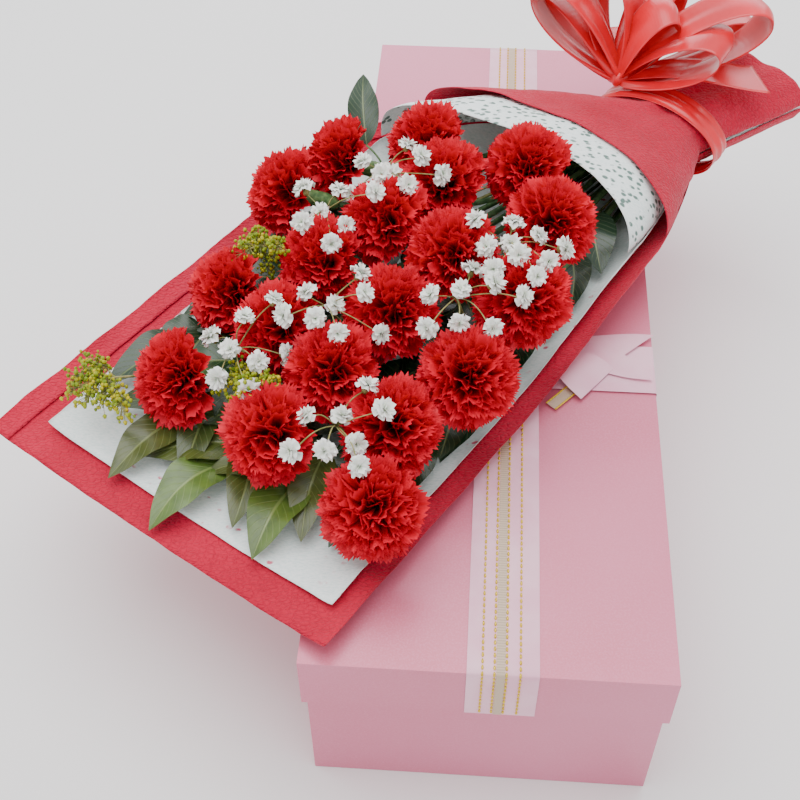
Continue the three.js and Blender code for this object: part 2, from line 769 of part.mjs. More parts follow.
function leafBlade(base, heading, size, rest) {
  return slab(1, 4, (u, v, w) => {
    const reach = lerp(0.01, 0.99, v);
    const half = (LEAF_WIDTH / 2) * size * Math.sin(Math.PI * reach ** 0.85) + 0.6;
    const side = (u - 0.5) * 2 * half;
    const out = reach * LEAF_LENGTH * size;
    const x = base.x - Math.sin(heading) * out + Math.cos(heading) * side;
    const y = base.y - Math.cos(heading) * out - Math.sin(heading) * side;
    return new THREE.Vector3(x, y, whiteTop(x, y) + rest + w * LEAF_THICKNESS);
  });
}

function twigEnd(twig) {
  const x = WHITE_SHIFT + (twig.across * whiteWidth) / 2;
  return new THREE.Vector3(x, twig.along * headPitch, 0);
}

function leafyTwig(column, twig) {
  const [cut, slot] = stemStart(0, column);
  const end = twigEnd(twig);
  const heading = bearingFrom(end.x, end.y);
  const rest = LEAF_REST + twig.level * leafLevel + TWIG_DIAMETER / 2;
  const points = [cut, slot];
  for (let i = 1; i <= 5; i += 1) {
    const point = slot.clone().lerp(end, i / 5);
    const settled = Math.min(1, i / 2);
    point.z = lerp(slot.z, whiteTop(point.x, point.y) + rest, settled);
    points.push(point);
  }
  const curve = new THREE.CatmullRomCurve3(points, false, "catmullrom", 0.12);
  const pieces = [tube(curve, TWIG_DIAMETER, 18, 4)];
  [0, 1, -1].forEach((side, i) => {
    const back = i * LEAF_STEP;
    const x = end.x + Math.sin(heading) * back;
    const y = end.y + Math.cos(heading) * back;
    const base = new THREE.Vector2(x, y);
    const bladeRest = LEAF_REST + twig.level * leafLevel + LEAF_STAGGER * i;
    pieces.push(leafBlade(base, heading + side * LEAF_SPLAY, 1 - 0.08 * i, bladeRest));
  });
  return joined(pieces);
}

// ---- Slots: a layer's stems take their columns in the order of their bearings ----
function bearingOf(place) {
  return bearingFrom(place.x, place.y);
}

const counts = { carnation: 0, breath: 0, goldenrod: 0, twig: 0 };
function nextName(kind, prefix) {
  counts[kind] += 1;
  return `${prefix}_${String(counts[kind]).padStart(2, "0")}`;
}

function columnOf(place, count, pitch) {
  return (place - (count - 1) / 2) * pitch;
}

headRows.forEach((row, rowIndex) => {
  const layer = rowIndex + 1;
  const stems = [...row, ...sprigRows[rowIndex]];
  stems.sort((one, other) => bearingOf(placeOf(other)) - bearingOf(placeOf(one)));
  stems.forEach((stem, place) => {
    const column = columnOf(place, stems.length, STEM_COLUMN);
    if (stem.kind === "breath") {
      const geometry = babysBreath(layer, column, stem);
      addMesh(bouquet, nextName("breath", "babys_breath"), geometry, "floret");
    } else if (stem.kind === "goldenrod") {
      const geometry = goldenrod(layer, column, stem);
      addMesh(bouquet, nextName("goldenrod", "goldenrod"), geometry, "bud");
    } else {
      addMesh(bouquet, nextName("carnation", "carnation"), carnation(layer, column, stem), "petal");
    }
  });
});

twigs.sort((one, other) => bearingOf(twigEnd(other)) - bearingOf(twigEnd(one)));
twigs.forEach((twig, place) => {
  const column = columnOf(place, twigs.length, TWIG_COLUMN);
  addMesh(bouquet, nextName("twig", "leafy_twig"), leafyTwig(column, twig), "leaf");
});

export default model;
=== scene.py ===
"""A wrapped bouquet of red carnations lying across a closed, ribboned gift box.

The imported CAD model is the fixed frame. Every visible piece is built here round it, in
the bouquet's own frame: x across, y along from the papers' foot, z above the lid, in
millimetres, turned into the frame's metres at the last moment.
"""

import math

import bpy
import numpy as np
from mathutils import Matrix, Vector


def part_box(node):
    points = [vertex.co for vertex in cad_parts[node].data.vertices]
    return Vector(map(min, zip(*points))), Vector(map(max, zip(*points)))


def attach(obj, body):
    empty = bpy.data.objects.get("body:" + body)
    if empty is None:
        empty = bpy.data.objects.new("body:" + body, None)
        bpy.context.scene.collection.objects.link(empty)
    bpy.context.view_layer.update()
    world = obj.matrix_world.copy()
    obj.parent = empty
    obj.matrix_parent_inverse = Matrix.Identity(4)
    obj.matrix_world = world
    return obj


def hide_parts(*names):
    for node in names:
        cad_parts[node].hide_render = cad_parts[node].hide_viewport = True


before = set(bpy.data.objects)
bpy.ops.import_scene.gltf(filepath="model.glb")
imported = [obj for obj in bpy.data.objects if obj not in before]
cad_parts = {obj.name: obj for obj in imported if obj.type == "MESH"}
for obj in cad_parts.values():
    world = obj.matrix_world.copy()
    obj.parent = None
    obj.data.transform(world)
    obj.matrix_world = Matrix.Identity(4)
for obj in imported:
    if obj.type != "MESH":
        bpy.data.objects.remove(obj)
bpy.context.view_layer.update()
MM = 0.001

# ---- Sizes shared with the CAD, in millimetres ----
LID_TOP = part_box("box_lid")[1].z / MM
LID_WIDTH, LID_LENGTH, LID_DEPTH = 220, 638, 45
BOUQUET_FOOT = (-217, -236)
BOUQUET_TURN = math.radians(-32.5)
HEAD_PITCH = 56
HEAD_RADIUS = 25
CALYX_LENGTH = 24
CALYX_RADIUS = 6.5
STEM_RADIUS = 2.2
STEM_COLUMN = 7
STEM_SET_BACK = 12
LAYER_PITCH, MIDDLE_LAYER = 5.2, 2.5
BED_PITCH = 6.1
BED_CLEARANCE = 1.6
SPRIG_RISE = 21
LEAF_REST = 2.2
TWIG_DIAMETER = 2.4
TWIG_COLUMN = 4.6
TOUCH_GAP = 0.3
PAPER = 1.2
PAPER_GAP = 1.1
PAPER_STEP = PAPER + PAPER_GAP
PAPER_REST = 4.8
RED_WIDTH, RED_SHIFT = 282, 6
WHITE_WIDTH, WHITE_SHIFT, WHITE_MARGIN = 244, 14, 24
EDGE_RISE = 8
COLLAR_CROWN = 92
COLLAR_STEP = 40
WHITE_RIM_GAP = 4
FUNNEL_LENGTH, FUNNEL_CURVE = 122, 1.3
NECK_SIDE = 70
HANDLE_LENGTH, HANDLE_SLOPE, HANDLE_FLARE = 108, 0.27, 0.1
TWINE_HALF, TWINE_HALF_HEIGHT = 33.6, 21.3
WRAP_HALF, WRAP_HALF_HEIGHT = 45.0, 28.0

# Heads by row, as the CAD has them: a row's height and tilt at the bouquet's crest, then
# its evenly stepped runs, each with its first place, its step (across, along) and count.
HEAD_ROWS = [
    (0.64, 40, [((-0.75, 1.45), (1.5, -0.1), 3)]),
    (0.85, 50, [((-1.15, 2.8), (1, -0.23), 4)]),
    (1.05, 54, [((-0.35, 3.65), (1.27, -0.28), 3)]),
    (1.25, 57, [((-1.6, 4.45), (0, 0), 1), ((0, 4.5), (1.05, -0.08), 3)]),
    (1.2, 54, [((-1.45, 5.4), (1.55, 0.13), 3), ((-0.6, 6.15), (1.45, 0.2), 2)]),
]
CREST_ACROSS = 0.9
CREST_FALL = 0.06
TILT_FALL = 5
ASIDE_TURN = 4

# Sprigs in the gaps between heads: kind, the heads round the gap by row and place, and
# how far the sprig stands beside the gap's middle.
SPRIG_ROWS = [
    [
        ("babys_breath", [(0, 0), (1, 1)], (0.2, 0.05)),
        ("babys_breath", [(0, 1), (0, 2), (1, 2), (1, 3)], (0, 0)),
        ("goldenrod", [(0, 0)], (-0.6, -0.35)),
        ("goldenrod", [(0, 1), (1, 1)], (0, 0)),
    ],
    [
        ("babys_breath", [(1, 1), (1, 2), (2, 0), (2, 1)], (0, 0)),
        ("goldenrod", [(1, 0), (2, 0), (3, 0)], (0, 0)),
    ],
    [
        ("babys_breath", [(2, 0), (3, 0), (3, 1)], (0, 0)),
        ("babys_breath", [(2, 1), (2, 2), (3, 2), (3, 3)], (0, 0)),
    ],
    [
        ("babys_breath", [(3, 1), (4, 0), (4, 1)], (0, 0)),
        ("babys_breath", [(3, 2), (3, 3), (4, 2)], (0, 0)),
    ],
    [],
]
GAP_RISE = {"babys_breath": 0.44, "goldenrod": 0.34}

# Leafy twigs: a fan along the papers' foot and one at each side, shares of the white
# sheet's half width. The tones go from dark (0) through olive (0.5) to light green (1).
FRONT_TWIG_SHARE, FRONT_TWIG_ALONG, FRONT_TWIG_BOW = 0.78, 1.3, 1.1
SIDE_TWIG_SHARE, SIDE_TWIG_ALONG = 0.8, 3.9
FRONT_TONES = (0.12, 0.55, 0.9, 0.85, 0.2)
SIDE_TONE, INNER_TONE = 0.08, 0.06
LEAF_LENGTH, LEAF_WIDTH = 72, 32
LEAF_PAIRS, LEAF_PAIR_STEP = 5, 38
LEAF_FIRST_BACK, LEAF_STAGGER = 0.5, 0.2
LEAF_END_SIZE = 1.12
LEAF_SPLAY = 38
LEAF_EDGE = 12

# How a sprig opens out over the heads beside it.
FLORET_SPREAD = 36
FLORET_DRIFT = (12, -6)
SPRAY_REACH = 30


# ---- Places of heads and sprigs, in pitches ----
def head_at(crest, tilt, run, i):
    """Across, along, height, tilt and turn of a run's head."""
    (across, along), (step_across, step_along), _ = run
    across += i * step_across
    along += i * step_along
    aside = across - CREST_ACROSS
    return across, along, crest - CREST_FALL * aside**2, tilt - TILT_FALL * aside**2, -ASIDE_TURN * aside


HEADS = [
    [head_at(crest, tilt, run, i) for run in runs for i in range(run[2])]
    for crest, tilt, runs in HEAD_ROWS
]


def sprig_at(kind, gap, beside):
    """The middle of the heads round a gap, raised over them."""
    middle = np.array([HEADS[row][number][:3] for row, number in gap]).mean(axis=0)
    return middle[0] + beside[0], middle[1] + beside[1], middle[2] + GAP_RISE[kind]


# ---- Places along the bouquet and heights over the lid, in millimetres ----
LAST_HEAD = max(head[1] for row in HEADS for head in row) * HEAD_PITCH
WHITE_RIM = LAST_HEAD + HEAD_RADIUS + WHITE_RIM_GAP
RED_RIM = WHITE_RIM + COLLAR_STEP
TIE_ALONG = WHITE_RIM + FUNNEL_LENGTH
HANDLE_END = TIE_ALONG + HANDLE_LENGTH
TIE_HEIGHT = PAPER_REST + WRAP_HALF_HEIGHT
WHITE_FLOOR = PAPER_REST + PAPER_STEP + PAPER
LEAF_LEVEL = TWIG_DIAMETER + TOUCH_GAP
TWIG_TOP = WHITE_FLOOR + LEAF_REST + LEAF_LEVEL + TWIG_DIAMETER
FIRST_BED = TWIG_TOP + BED_CLEARANCE + STEM_RADIUS


# ---- Frames and small maths ----
WHOLE_TURN = 6.3
RIPPLE_WAVES = 9
GOLDEN_ANGLE = math.radians(137.508)


def spin(angle):
    """A 3x3 turn about Z."""
    c, s = math.cos(angle), math.sin(angle)
    return np.array([[c, -s, 0], [s, c, 0], [0, 0, 1]])


def bouquet_to_world(points):
    """Points in the bouquet's millimetres as the frame's metres."""
    return (points @ spin(BOUQUET_TURN).T + [*BOUQUET_FOOT, LID_TOP]) * MM


def box_to_world(points):
    """Points in the box's millimetres, which is the frame's own place, as metres."""
    return points * MM


def lerp(a, b, t):
    return a + (b - a) * t


def smoothstep(low, high, value):
    t = np.clip((value - low) / (high - low), 0, 1)
    return t * t * (3 - 2 * t)


def stacked(*parts):
    """Numbers and grids, spread to one size, as one grid of points or shape values."""
    return np.stack(np.broadcast_arrays(*parts), axis=-1)


def any_phase(rng):
    """A random angle, or place in a wave, in radians."""
    return rng.uniform(0, WHOLE_TURN)


def bezier(t, start, control, end):
    return (1 - t) ** 2 * start + 2 * t * (1 - t) * control + t**2 * end


def bezier_slope(t, start, control, end):
    return 2 * (1 - t) * (control - start) + 2 * t * (end - control)


def ripple(x, y, size, seed):
    """Smooth random waves from -1 to 1 over a surface, of about that size."""
    rng = np.random.default_rng(seed)
    total = np.zeros(np.broadcast(x, y).shape)
    for _ in range(RIPPLE_WAVES):
        heading = rng.uniform(0, 2 * math.pi)
        length = size * rng.uniform(0.6, 1.6)
        phase = rng.uniform(0, 2 * math.pi)
        along = x * math.cos(heading) + y * math.sin(heading)
        total += np.sin(2 * math.pi * along / length + phase)
    return total / math.sqrt(RIPPLE_WAVES)


def rotation_to(axis, roll=0.0):
    """A 3x3 turn that takes +Z to axis, after a roll about Z."""
    turn = Vector((0, 0, 1)).rotation_difference(Vector(axis)).to_matrix()
    return np.array(turn @ Matrix.Rotation(roll, 3, "Z"))


class Mesher:
    """Gathers grids of points into one mesh. Each point has a shape value of three numbers."""

    def __init__(self):
        self.points = []
        self.values = []
        self.faces = []
        self.slots = []
        self.count = 0

    def grid(self, points, values=(0, 0, 0), slot=0, closed=False):
        """points is (rows, columns, 3). closed joins the last column to the first."""
        rows, columns = points.shape[:2]
        index = np.arange(rows * columns).reshape(rows, columns) + self.count
        if closed:
            index = np.concatenate([index, index[:, :1]], axis=1)
        corners = [index[:-1, :-1], index[:-1, 1:], index[1:, 1:], index[1:, :-1]]
        quads = np.stack(corners, axis=-1).reshape(-1, 4)
        self.points.append(points.reshape(-1, 3))
        self.values.append(np.broadcast_to(values, (rows, columns, 3)).reshape(-1, 3))
        self.faces.append(quads)
        self.slots.append(np.full(len(quads), slot))
        self.count += rows * columns

    def tube(self, path, radius, sides, slot=0):
        """A round tube with closed ends along path, whose radius may change along it."""
        path = np.asarray(path, float)
        radii = np.broadcast_to(radius, len(path)).astype(float)
        tangent = np.gradient(path, axis=0)
        tangent /= np.linalg.norm(tangent, axis=1, keepdims=True) + 1e-12
        helper = np.array([0.31, 0.17, 0.93])
        side = np.cross(tangent, helper)
        side /= np.linalg.norm(side, axis=1, keepdims=True) + 1e-12
        up = np.cross(side, tangent)
        angle = np.linspace(0, 2 * math.pi, sides, endpoint=False)
        ring = np.cos(angle)[None, :, None] * side[:, None] + np.sin(angle)[None, :, None] * up[:, None]
        body = path[:, None] + ring * radii[:, None, None]
        start = np.repeat(path[:1, None], sides, axis=1)
        end = np.repeat(path[-1:, None], sides, axis=1)
        self.grid(np.concatenate([start, body, end]), slot=slot, closed=True)

    def ball(self, centre, radii, sides, values=(0, 0, 0), slot=0):
        """An egg of those three radii."""
        polar = np.linspace(0.02, math.pi - 0.02, 5)[:, None]
        angle = np.linspace(0, 2 * math.pi, sides, endpoint=False)[None]
        points = stacked(np.sin(polar) * np.cos(angle), np.sin(polar) * np.sin(angle), np.cos(polar))
        self.grid(np.asarray(centre) + points * radii, values, slot, closed=True)

    def build(self, name, materials, to_world):
        points = to_world(np.concatenate(self.points))
        faces = np.concatenate(self.faces)
        mesh = bpy.data.meshes.new(name)
        mesh.vertices.add(len(points))
        mesh.vertices.foreach_set("co", points.ravel())
        mesh.loops.add(faces.size)
        mesh.loops.foreach_set("vertex_index", faces.ravel())
        mesh.polygons.add(len(faces))
        mesh.polygons.foreach_set("loop_start", np.arange(0, faces.size, 4))
        mesh.polygons.foreach_set("material_index", np.concatenate(self.slots))
        mesh.update(calc_edges=True)
        mesh.polygons.foreach_set("use_smooth", np.full(len(faces), True))
        colours = np.ones((len(points), 4))
        colours[:, :3] = np.concatenate(self.values)
        shape = mesh.color_attributes.new("shape", "FLOAT_COLOR", "POINT")
        shape.data.foreach_set("color", colours.ravel())
        for material in materials:
            mesh.materials.append(material)
        obj = bpy.data.objects.new(name, mesh)
        bpy.context.scene.collection.objects.link(obj)
        return obj


def thicken(obj, thickness):
    """Gives a sheet its thickness, evenly to both sides."""
    solidify = obj.modifiers.new("thickness", "SOLIDIFY")
    solidify.thickness = thickness * MM
    solidify.offset = 0


def place(obj, slot, *nodes):
    """The piece rides on the one body, and stands for its CAD nodes."""
    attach(obj, "root")
    if nodes:
        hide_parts(*nodes)
    return obj


# ---- Materials ----
class Look:
    """A material in the making: a Principled shader and short words for its nodes."""

    def __init__(self, name, roughness, specular=0.5):
        self.material = bpy.data.materials.new(name)
        self.material.use_nodes = True
        self.tree = self.material.node_tree
        self.shader = self.tree.nodes["Principled BSDF"]
        self.shader.inputs["Roughness"].default_value = roughness
        self.shader.inputs["Specular IOR Level"].default_value = specular
        self.position = self.add("ShaderNodeTexCoord").outputs["Object"]
        shape = self.add("ShaderNodeAttribute")
        shape.attribute_name = "shape"
        split = self.add("ShaderNodeSeparateXYZ")
        self.link(shape.outputs["Vector"], split.inputs[0])
        self.first, self.second, self.third = split.outputs

    def add(self, kind):
        return self.tree.nodes.new(kind)

    def link(self, source, target):
        self.tree.links.new(source, target)

    def feed(self, value, target):
        if isinstance(value, bpy.types.NodeSocket):
            self.link(value, target)
        else:
            target.default_value = value

    def maths(self, operation, a, b=0.0):
        node = self.add("ShaderNodeMath")
        node.operation = operation
        self.feed(a, node.inputs[0])
        self.feed(b, node.inputs[1])
        return node.outputs[0]

    def times(self, a, b):
        return self.maths("MULTIPLY", a, b)

    def inverse(self, value):
        return self.maths("SUBTRACT", 1.0, value)

    def waves(self, value, count):
        return self.maths("SINE", self.times(value, count))

    def texture(self, kind, scale, stretch):
        """A texture node in the object's own metres, stretched along its axes."""
        mapping = self.add("ShaderNodeMapping")
        self.link(self.position, mapping.inputs["Vector"])
        mapping.inputs["Scale"].default_value = stretch
        node = self.add(kind)
        self.link(mapping.outputs[0], node.inputs["Vector"])
        node.inputs["Scale"].default_value = scale
        return node

    def noise(self, scale, detail=3.0, stretch=(1, 1, 1)):
        node = self.texture("ShaderNodeTexNoise", scale, stretch)
        node.inputs["Detail"].default_value = detail
        return node.outputs["Fac"]

    def cells(self, scale, feature, stretch):
        node = self.texture("ShaderNodeTexVoronoi", scale, stretch)
        node.feature = feature
        return node.outputs["Distance"]

    def band(self, value, low, high):
        """0 below low, 1 above high, smooth between."""
        node = self.add("ShaderNodeMapRange")
        node.interpolation_type = "SMOOTHSTEP"
        self.link(value, node.inputs["Value"])
        node.inputs["From Min"].default_value = low
        node.inputs["From Max"].default_value = high
        return node.outputs[0]

    def mix(self, factor, a, b):
        node = self.add("ShaderNodeMix")
        node.data_type = "RGBA"
        self.feed(factor, node.inputs["Factor"])
        for value, target in ((a, node.inputs["A"]), (b, node.inputs["B"])):
            self.feed(value if isinstance(value, bpy.types.NodeSocket) else rgba(value), target)
        return node.outputs["Result"]

    def between(self, value, low, high, a, b):
        """Colour a where the value is below low, b where it is above high."""
        return self.mix(self.band(value, low, high), a, b)

    def ramp(self, value, *stops):
        """Colours along a value. A stop is its position and the tone there, 0 to 255."""
        node = self.add("ShaderNodeValToRGB")
        self.link(value, node.inputs[0])
        elements = node.color_ramp.elements
        while len(elements) < len(stops):
            elements.new(0.5)
        for element, (position, *colour) in zip(elements, stops):
            element.position = position
            element.color = rgba(tone(*colour))
        return node.outputs["Color"]

    def colour(self, source):
        self.link(source, self.shader.inputs["Base Color"])

    def bump(self, height, distance, strength=1.0):
        node = self.add("ShaderNodeBump")
        self.link(height, node.inputs["Height"])
        node.inputs["Distance"].default_value = distance * MM
        node.inputs["Strength"].default_value = strength
        self.link(node.outputs[0], self.shader.inputs["Normal"])

    def set(self, **sockets):
        for name, value in sockets.items():
            self.shader.inputs[name.replace("_", " ")].default_value = value


def rgba(colour):
    return (*colour[:3], 1.0)


def tone(red, green, blue):
    """A colour given as it looks, 0 to 255, in the renderer's linear numbers."""
    channels = []
    for value in (red, green, blue):
        share = value / 255
        channels.append(share / 12.92 if share <= 0.04045 else ((share + 0.055) / 1.055) ** 2.4)
    return tuple(channels)


def mottled_look(name, surface, scale, detail, tones, relief, contrast=(0.3, 0.7), **sockets):
    """Two tones mottled by one noise, which is the relief too. surface is roughness, specular."""
    look = Look(name, *surface)
    mottle = look.noise(scale, detail)
    look.colour(look.between(mottle, *contrast, *tones))
    look.bump(mottle, *relief)
    look.set(**sockets)
    return look.material


def petal_look():
    """The first shape value goes from base to rim, the third is the petal's own shade. Along the first
    the red is painted light: darker towards the base as painted shade deep in the head, pinker at the rim
    as a painted highlight.
    """
    look = Look("carnation_petal", 0.55, 0.3)
    # Painted light: the red darkens to the petal's base as painted shade deep in the head and brightens
    # to a pinker rim as a painted highlight.
    depth = look.ramp(
        look.first, (0.0, 62, 0, 10), (0.5, 140, 0, 22), (0.85, 212, 0, 36), (1.0, 236, 6, 52)
    )
    veins = look.noise(900, 2.0)
    streaked = look.between(veins, 0.35, 0.75, depth, tone(182, 0, 28))
    look.colour(look.between(look.third, 0.0, 1.0, streaked, depth))
    look.bump(veins, 0.25, 0.6)
    look.set(Sheen_Weight=0.12, Sheen_Roughness=0.4, Sheen_Tint=rgba(tone(255, 60, 90)))
    look.set(Subsurface_Weight=0.05, Subsurface_Radius=(0.004, 0.001, 0.001))
    return look.material


def green_look(name, dark, light):
    return mottled_look(name, (0.5, 0.4), 260, 3.0, (dark, light), (0.2, 0.5))


def leaf_look():
    """The shape values are: from the midrib (0) to an edge (1), from base to tip, and tone."""
    look = Look("leaf", 0.34, 0.5)
    blade = look.ramp(
        look.third, (0.0, 22, 48, 30), (0.3, 34, 68, 32), (0.55, 80, 86, 36), (1.0, 92, 122, 46)
    )
    vein_place = look.maths("ADD", look.times(look.second, 11.0), look.times(look.first, -2.6))
    saw = look.maths("ABSOLUTE", look.maths("SUBTRACT", look.maths("FRACT", vein_place), 0.5))
    side_vein = look.inverse(look.band(saw, 0.02, 0.1))
    midrib = look.inverse(look.band(look.first, 0.03, 0.09))
    veins = look.maths("MAXIMUM", look.times(side_vein, 0.35), look.times(midrib, 0.8))
    pale = look.mix(0.4, blade, tone(160, 174, 108))
    mottle = look.band(look.noise(120, 3.0), 0.3, 0.75)
    shaded = look.mix(look.times(mottle, 0.4), blade, tone(20, 44, 26))
    look.colour(look.mix(veins, shaded, pale))
    look.bump(look.inverse(veins), 0.5, 0.7)
    look.set(Coat_Weight=0.25, Coat_Roughness=0.2)
    return look.material


def floret_look():
    look = Look("babys_breath_petal", 0.6, 0.3)
    shade = look.ramp(look.first, (0.0, 176, 196, 160), (0.5, 236, 240, 232), (1.0, 252, 252, 248))
    look.colour(look.between(look.noise(700, 2.0), 0.4, 0.8, shade, tone(240, 243, 236)))
    look.bump(look.noise(1500, 2.0), 0.15, 0.5)
    look.set(Subsurface_Weight=0.15, Subsurface_Radius=(0.002, 0.002, 0.0015))
    return look.material


def bud_look():
    """The third shape value goes from green buds (0) to open yellow ones (1)."""
    look = Look("goldenrod_bud", 0.6, 0.3)
    ripe = look.ramp(look.third, (0.0, 110, 142, 30), (0.5, 170, 178, 36), (1.0, 226, 196, 34))
    look.colour(look.between(look.noise(900, 2.0), 0.4, 0.7, ripe, tone(150, 160, 40)))
    look.bump(look.noise(1800, 2.0), 0.2, 0.6)
    return look.material


def crepe_look():
    """Red paper with fine grain and a net of crinkles."""
    look = Look("red_crepe_paper", 0.72, 0.25)
    grain = look.noise(420, 4.0)
    crinkle = look.noise(150, 3.0, (1.0, 2.2, 1.0))
    base = look.ramp(look.noise(14, 4.0), (0.3, 184, 8, 48), (0.55, 202, 14, 58), (0.8, 216, 22, 66))
    look.colour(look.mix(look.times(look.band(grain, 0.35, 0.7), 0.3), base, tone(158, 4, 36)))
    net = look.cells(230, "DISTANCE_TO_EDGE", (1.0, 1.7, 1.0))
    wrinkles = look.inverse(look.band(net, 0.0, 0.22))
    relief = look.maths("SUBTRACT", look.maths("ADD", look.times(grain, 0.5), crinkle), wrinkles)
    look.bump(relief, 1.0, 0.6)
    look.set(Sheen_Weight=0.1, Sheen_Roughness=0.5)
    return look.material


def lace_look(name, scale, hole_colour, hole_size, amount):
    """White fibre paper: a web with thin spots and holes of hole_size, over a share of cells. The holes
    are painted in hole_colour; on the collar their dark grey-green is painted shade, the shaded inside
    seen through the holes.
    """
    look = Look(name, 0.62, 0.3)
    fibres = look.noise(380, 5.0, (1.0, 2.6, 1.0))
    paper = look.ramp(fibres, (0.3, 222, 236, 235), (0.55, 242, 250, 249), (0.8, 254, 255, 255))
    uneven = look.times(look.noise(300, 3.0), 0.35)
    warped = look.maths("ADD", look.cells(scale, "F1", (1.0, 1.5, 1.0)), uneven)
    spot = look.inverse(look.band(warped, hole_size, hole_size + 0.14))
    spots = look.times(spot, look.band(look.noise(60, 4.0), amount, amount + 0.12))
    look.colour(look.mix(spots, paper, hole_colour))
    look.bump(look.maths("SUBTRACT", fibres, look.times(spots, 0.8)), 0.5, 0.6)
    look.set(Subsurface_Weight=0.05, Subsurface_Radius=(0.002, 0.002, 0.002))
    return look.material


def satin_look():
    """A woven satin: fine threads across the ribbon and a soft sheen."""
    look = Look("coral_satin", 0.27, 0.6)
    look.colour(look.between(look.noise(24, 3.0), 0.3, 0.7, tone(206, 4, 28), tone(232, 28, 46)))
    look.bump(look.waves(look.second, 420.0), 0.04, 0.35)
    look.set(Sheen_Weight=0.35, Sheen_Roughness=0.3, Sheen_Tint=rgba(tone(255, 150, 150)))
    look.set(Anisotropic=0.5, Coat_Weight=0.2, Coat_Roughness=0.3)
    return look.material


def card_look():
    """Pink card with a fine grain under a pearly coat."""
    look = Look("pearl_card", 0.36, 0.5)
    grain = look.noise(800, 4.0)
    base = look.between(look.noise(6, 3.0), 0.3, 0.7, tone(222, 118, 134), tone(230, 134, 150))
    look.colour(look.mix(look.times(look.band(grain, 0.4, 0.7), 0.25), base, tone(240, 164, 180)))
    look.bump(grain, 0.05, 0.4)
    look.set(Metallic=0.1, Coat_Weight=0.45, Coat_Roughness=0.28, Coat_Tint=rgba(tone(236, 214, 255)))
    return look.material


def sheer_look():
    """The pale ribbon round the box: a fine weave with a pearly shine."""
    look = Look("sheer_ribbon", 0.4, 0.5)
    weave = look.times(look.waves(look.second, WEFT_COUNT), look.waves(look.first, 260.0))
    pale = look.between(look.noise(40, 3.0), 0.3, 0.7, tone(240, 178, 202), tone(248, 200, 218))
    look.colour(look.mix(look.times(look.band(weave, -0.4, 0.6), 0.35), pale, tone(228, 156, 182)))
    look.bump(weave, 0.05, 0.4)
    look.set(Sheen_Weight=0.3, Sheen_Roughness=0.3, Coat_Weight=0.1)
    return look.material


def beige_look():
    look = Look("gold_woven_strip", 0.5, 0.4)
    weave = look.waves(look.second, WEFT_COUNT)
    look.colour(look.between(weave, -0.5, 0.5, tone(190, 166, 146), tone(210, 188, 164)))
    look.bump(weave, 0.05, 0.5)
    return look.material


WEFT_COUNT = 3000.0
GOLD_TONES = (tone(206, 168, 10), tone(244, 216, 50))
TWINE_TONES = (tone(150, 126, 84), tone(204, 184, 140))
PETAL = petal_look()
STEM = green_look("flower_stem", tone(52, 88, 48), tone(96, 128, 78))
CALYX = green_look("calyx", tone(70, 108, 62), tone(120, 152, 92))
STALK = green_look("floret_stalk", tone(120, 128, 70), tone(168, 160, 104))
LEAF = leaf_look()
FLORET = floret_look()
BUD = bud_look()
CREPE = crepe_look()
LACE = lace_look("white_fibre_paper", 95, tone(220, 110, 132), 0.3, 0.5)
# The collar's dark grey-green hole colour is painted shade: the shaded inside of the bouquet seen through
# the lace's holes.
LACE_COLLAR = lace_look("white_fibre_collar", 150, tone(104, 130, 122), 0.44, 0.3)
SATIN_LOOK = satin_look()
CARD = card_look()
SHEER = sheer_look()
GOLD = mottled_look(
    "gold_thread", (0.38, 0.6), 1400, 2.0, GOLD_TONES, (0.1, 0.6), (0.35, 0.65), Metallic=0.3
)
BEIGE = beige_look()
TWINE = mottled_look("twine", (0.85, 0.2), 700, 4.0, TWINE_TONES, (0.4, 0.8))


# ---- The papers' surfaces ----
def section(along, width, shift, inset):
    """The wrap's section at a place along it: centre, half width, floor, side and crown."""
    gather = np.clip((along - WHITE_RIM) / FUNNEL_LENGTH, 0, 1) ** FUNNEL_CURVE
    past = np.maximum(0, along - TIE_ALONG)
    centre = lerp(shift, NECK_SIDE, gather) + HANDLE_SLOPE * past
    half = lerp(width / 2, WRAP_HALF, gather) - inset + HANDLE_FLARE * past
    low = PAPER_REST + inset
    side = lerp(PAPER_REST + EDGE_RISE + inset, TIE_HEIGHT, gather)
    crown = lerp(COLLAR_CROWN, TIE_HEIGHT + WRAP_HALF_HEIGHT, gather) - inset
    return centre, half, low, side, crown


def white_top(x, y):
    centre, half, low, side, _ = section(y, WHITE_WIDTH, WHITE_SHIFT, PAPER_STEP + PAPER)
    sine = np.minimum(1.0, np.abs(x - centre) / half)
    return side - (side - low) * np.sqrt(1 - sine * sine)


# ---- Heads in the bouquet, in millimetres ----
HEAD_DOME, HEAD_FLATNESS = 30, 0.92


def head_centre(head):
    return np.array(head[:3]) * HEAD_PITCH + np.array([0, 0, FIRST_BED])


HEAD_CENTRES = np.array([head_centre(head) for row in HEADS for head in row])


def above_heads(x, y, lowest):
    """The height just above the heads under a place, or lowest in a gap."""
    apart = np.hypot(HEAD_CENTRES[:, 0] - x, HEAD_CENTRES[:, 1] - y)
    near = apart < HEAD_RADIUS
    if not near.any():
        return lowest
    tops = HEAD_CENTRES[near, 2] + np.sqrt(HEAD_DOME**2 - apart[near] ** 2) * HEAD_FLATNESS
    return max(lowest, tops.max())


# ---- Stems ----
def bearing_from(x, y):
    return math.atan2(NECK_SIDE - x, TIE_ALONG - y)


def bed_height(layer, x, y):
    return FIRST_BED + (layer - 1) * BED_PITCH + white_top(x, y) - WHITE_FLOOR


def stem_start(layer, column):
    """The cut end behind the tie and the slot in it."""
    back = HANDLE_LENGTH - STEM_SET_BACK
    height = TIE_HEIGHT + (layer - MIDDLE_LAYER) * LAYER_PITCH
    slot = np.array([NECK_SIDE + column, TIE_ALONG, height])
    return slot + np.array([HANDLE_SLOPE * back, back, 0]), slot


PATH_STEPS, PATH_PASSES = 28, 2


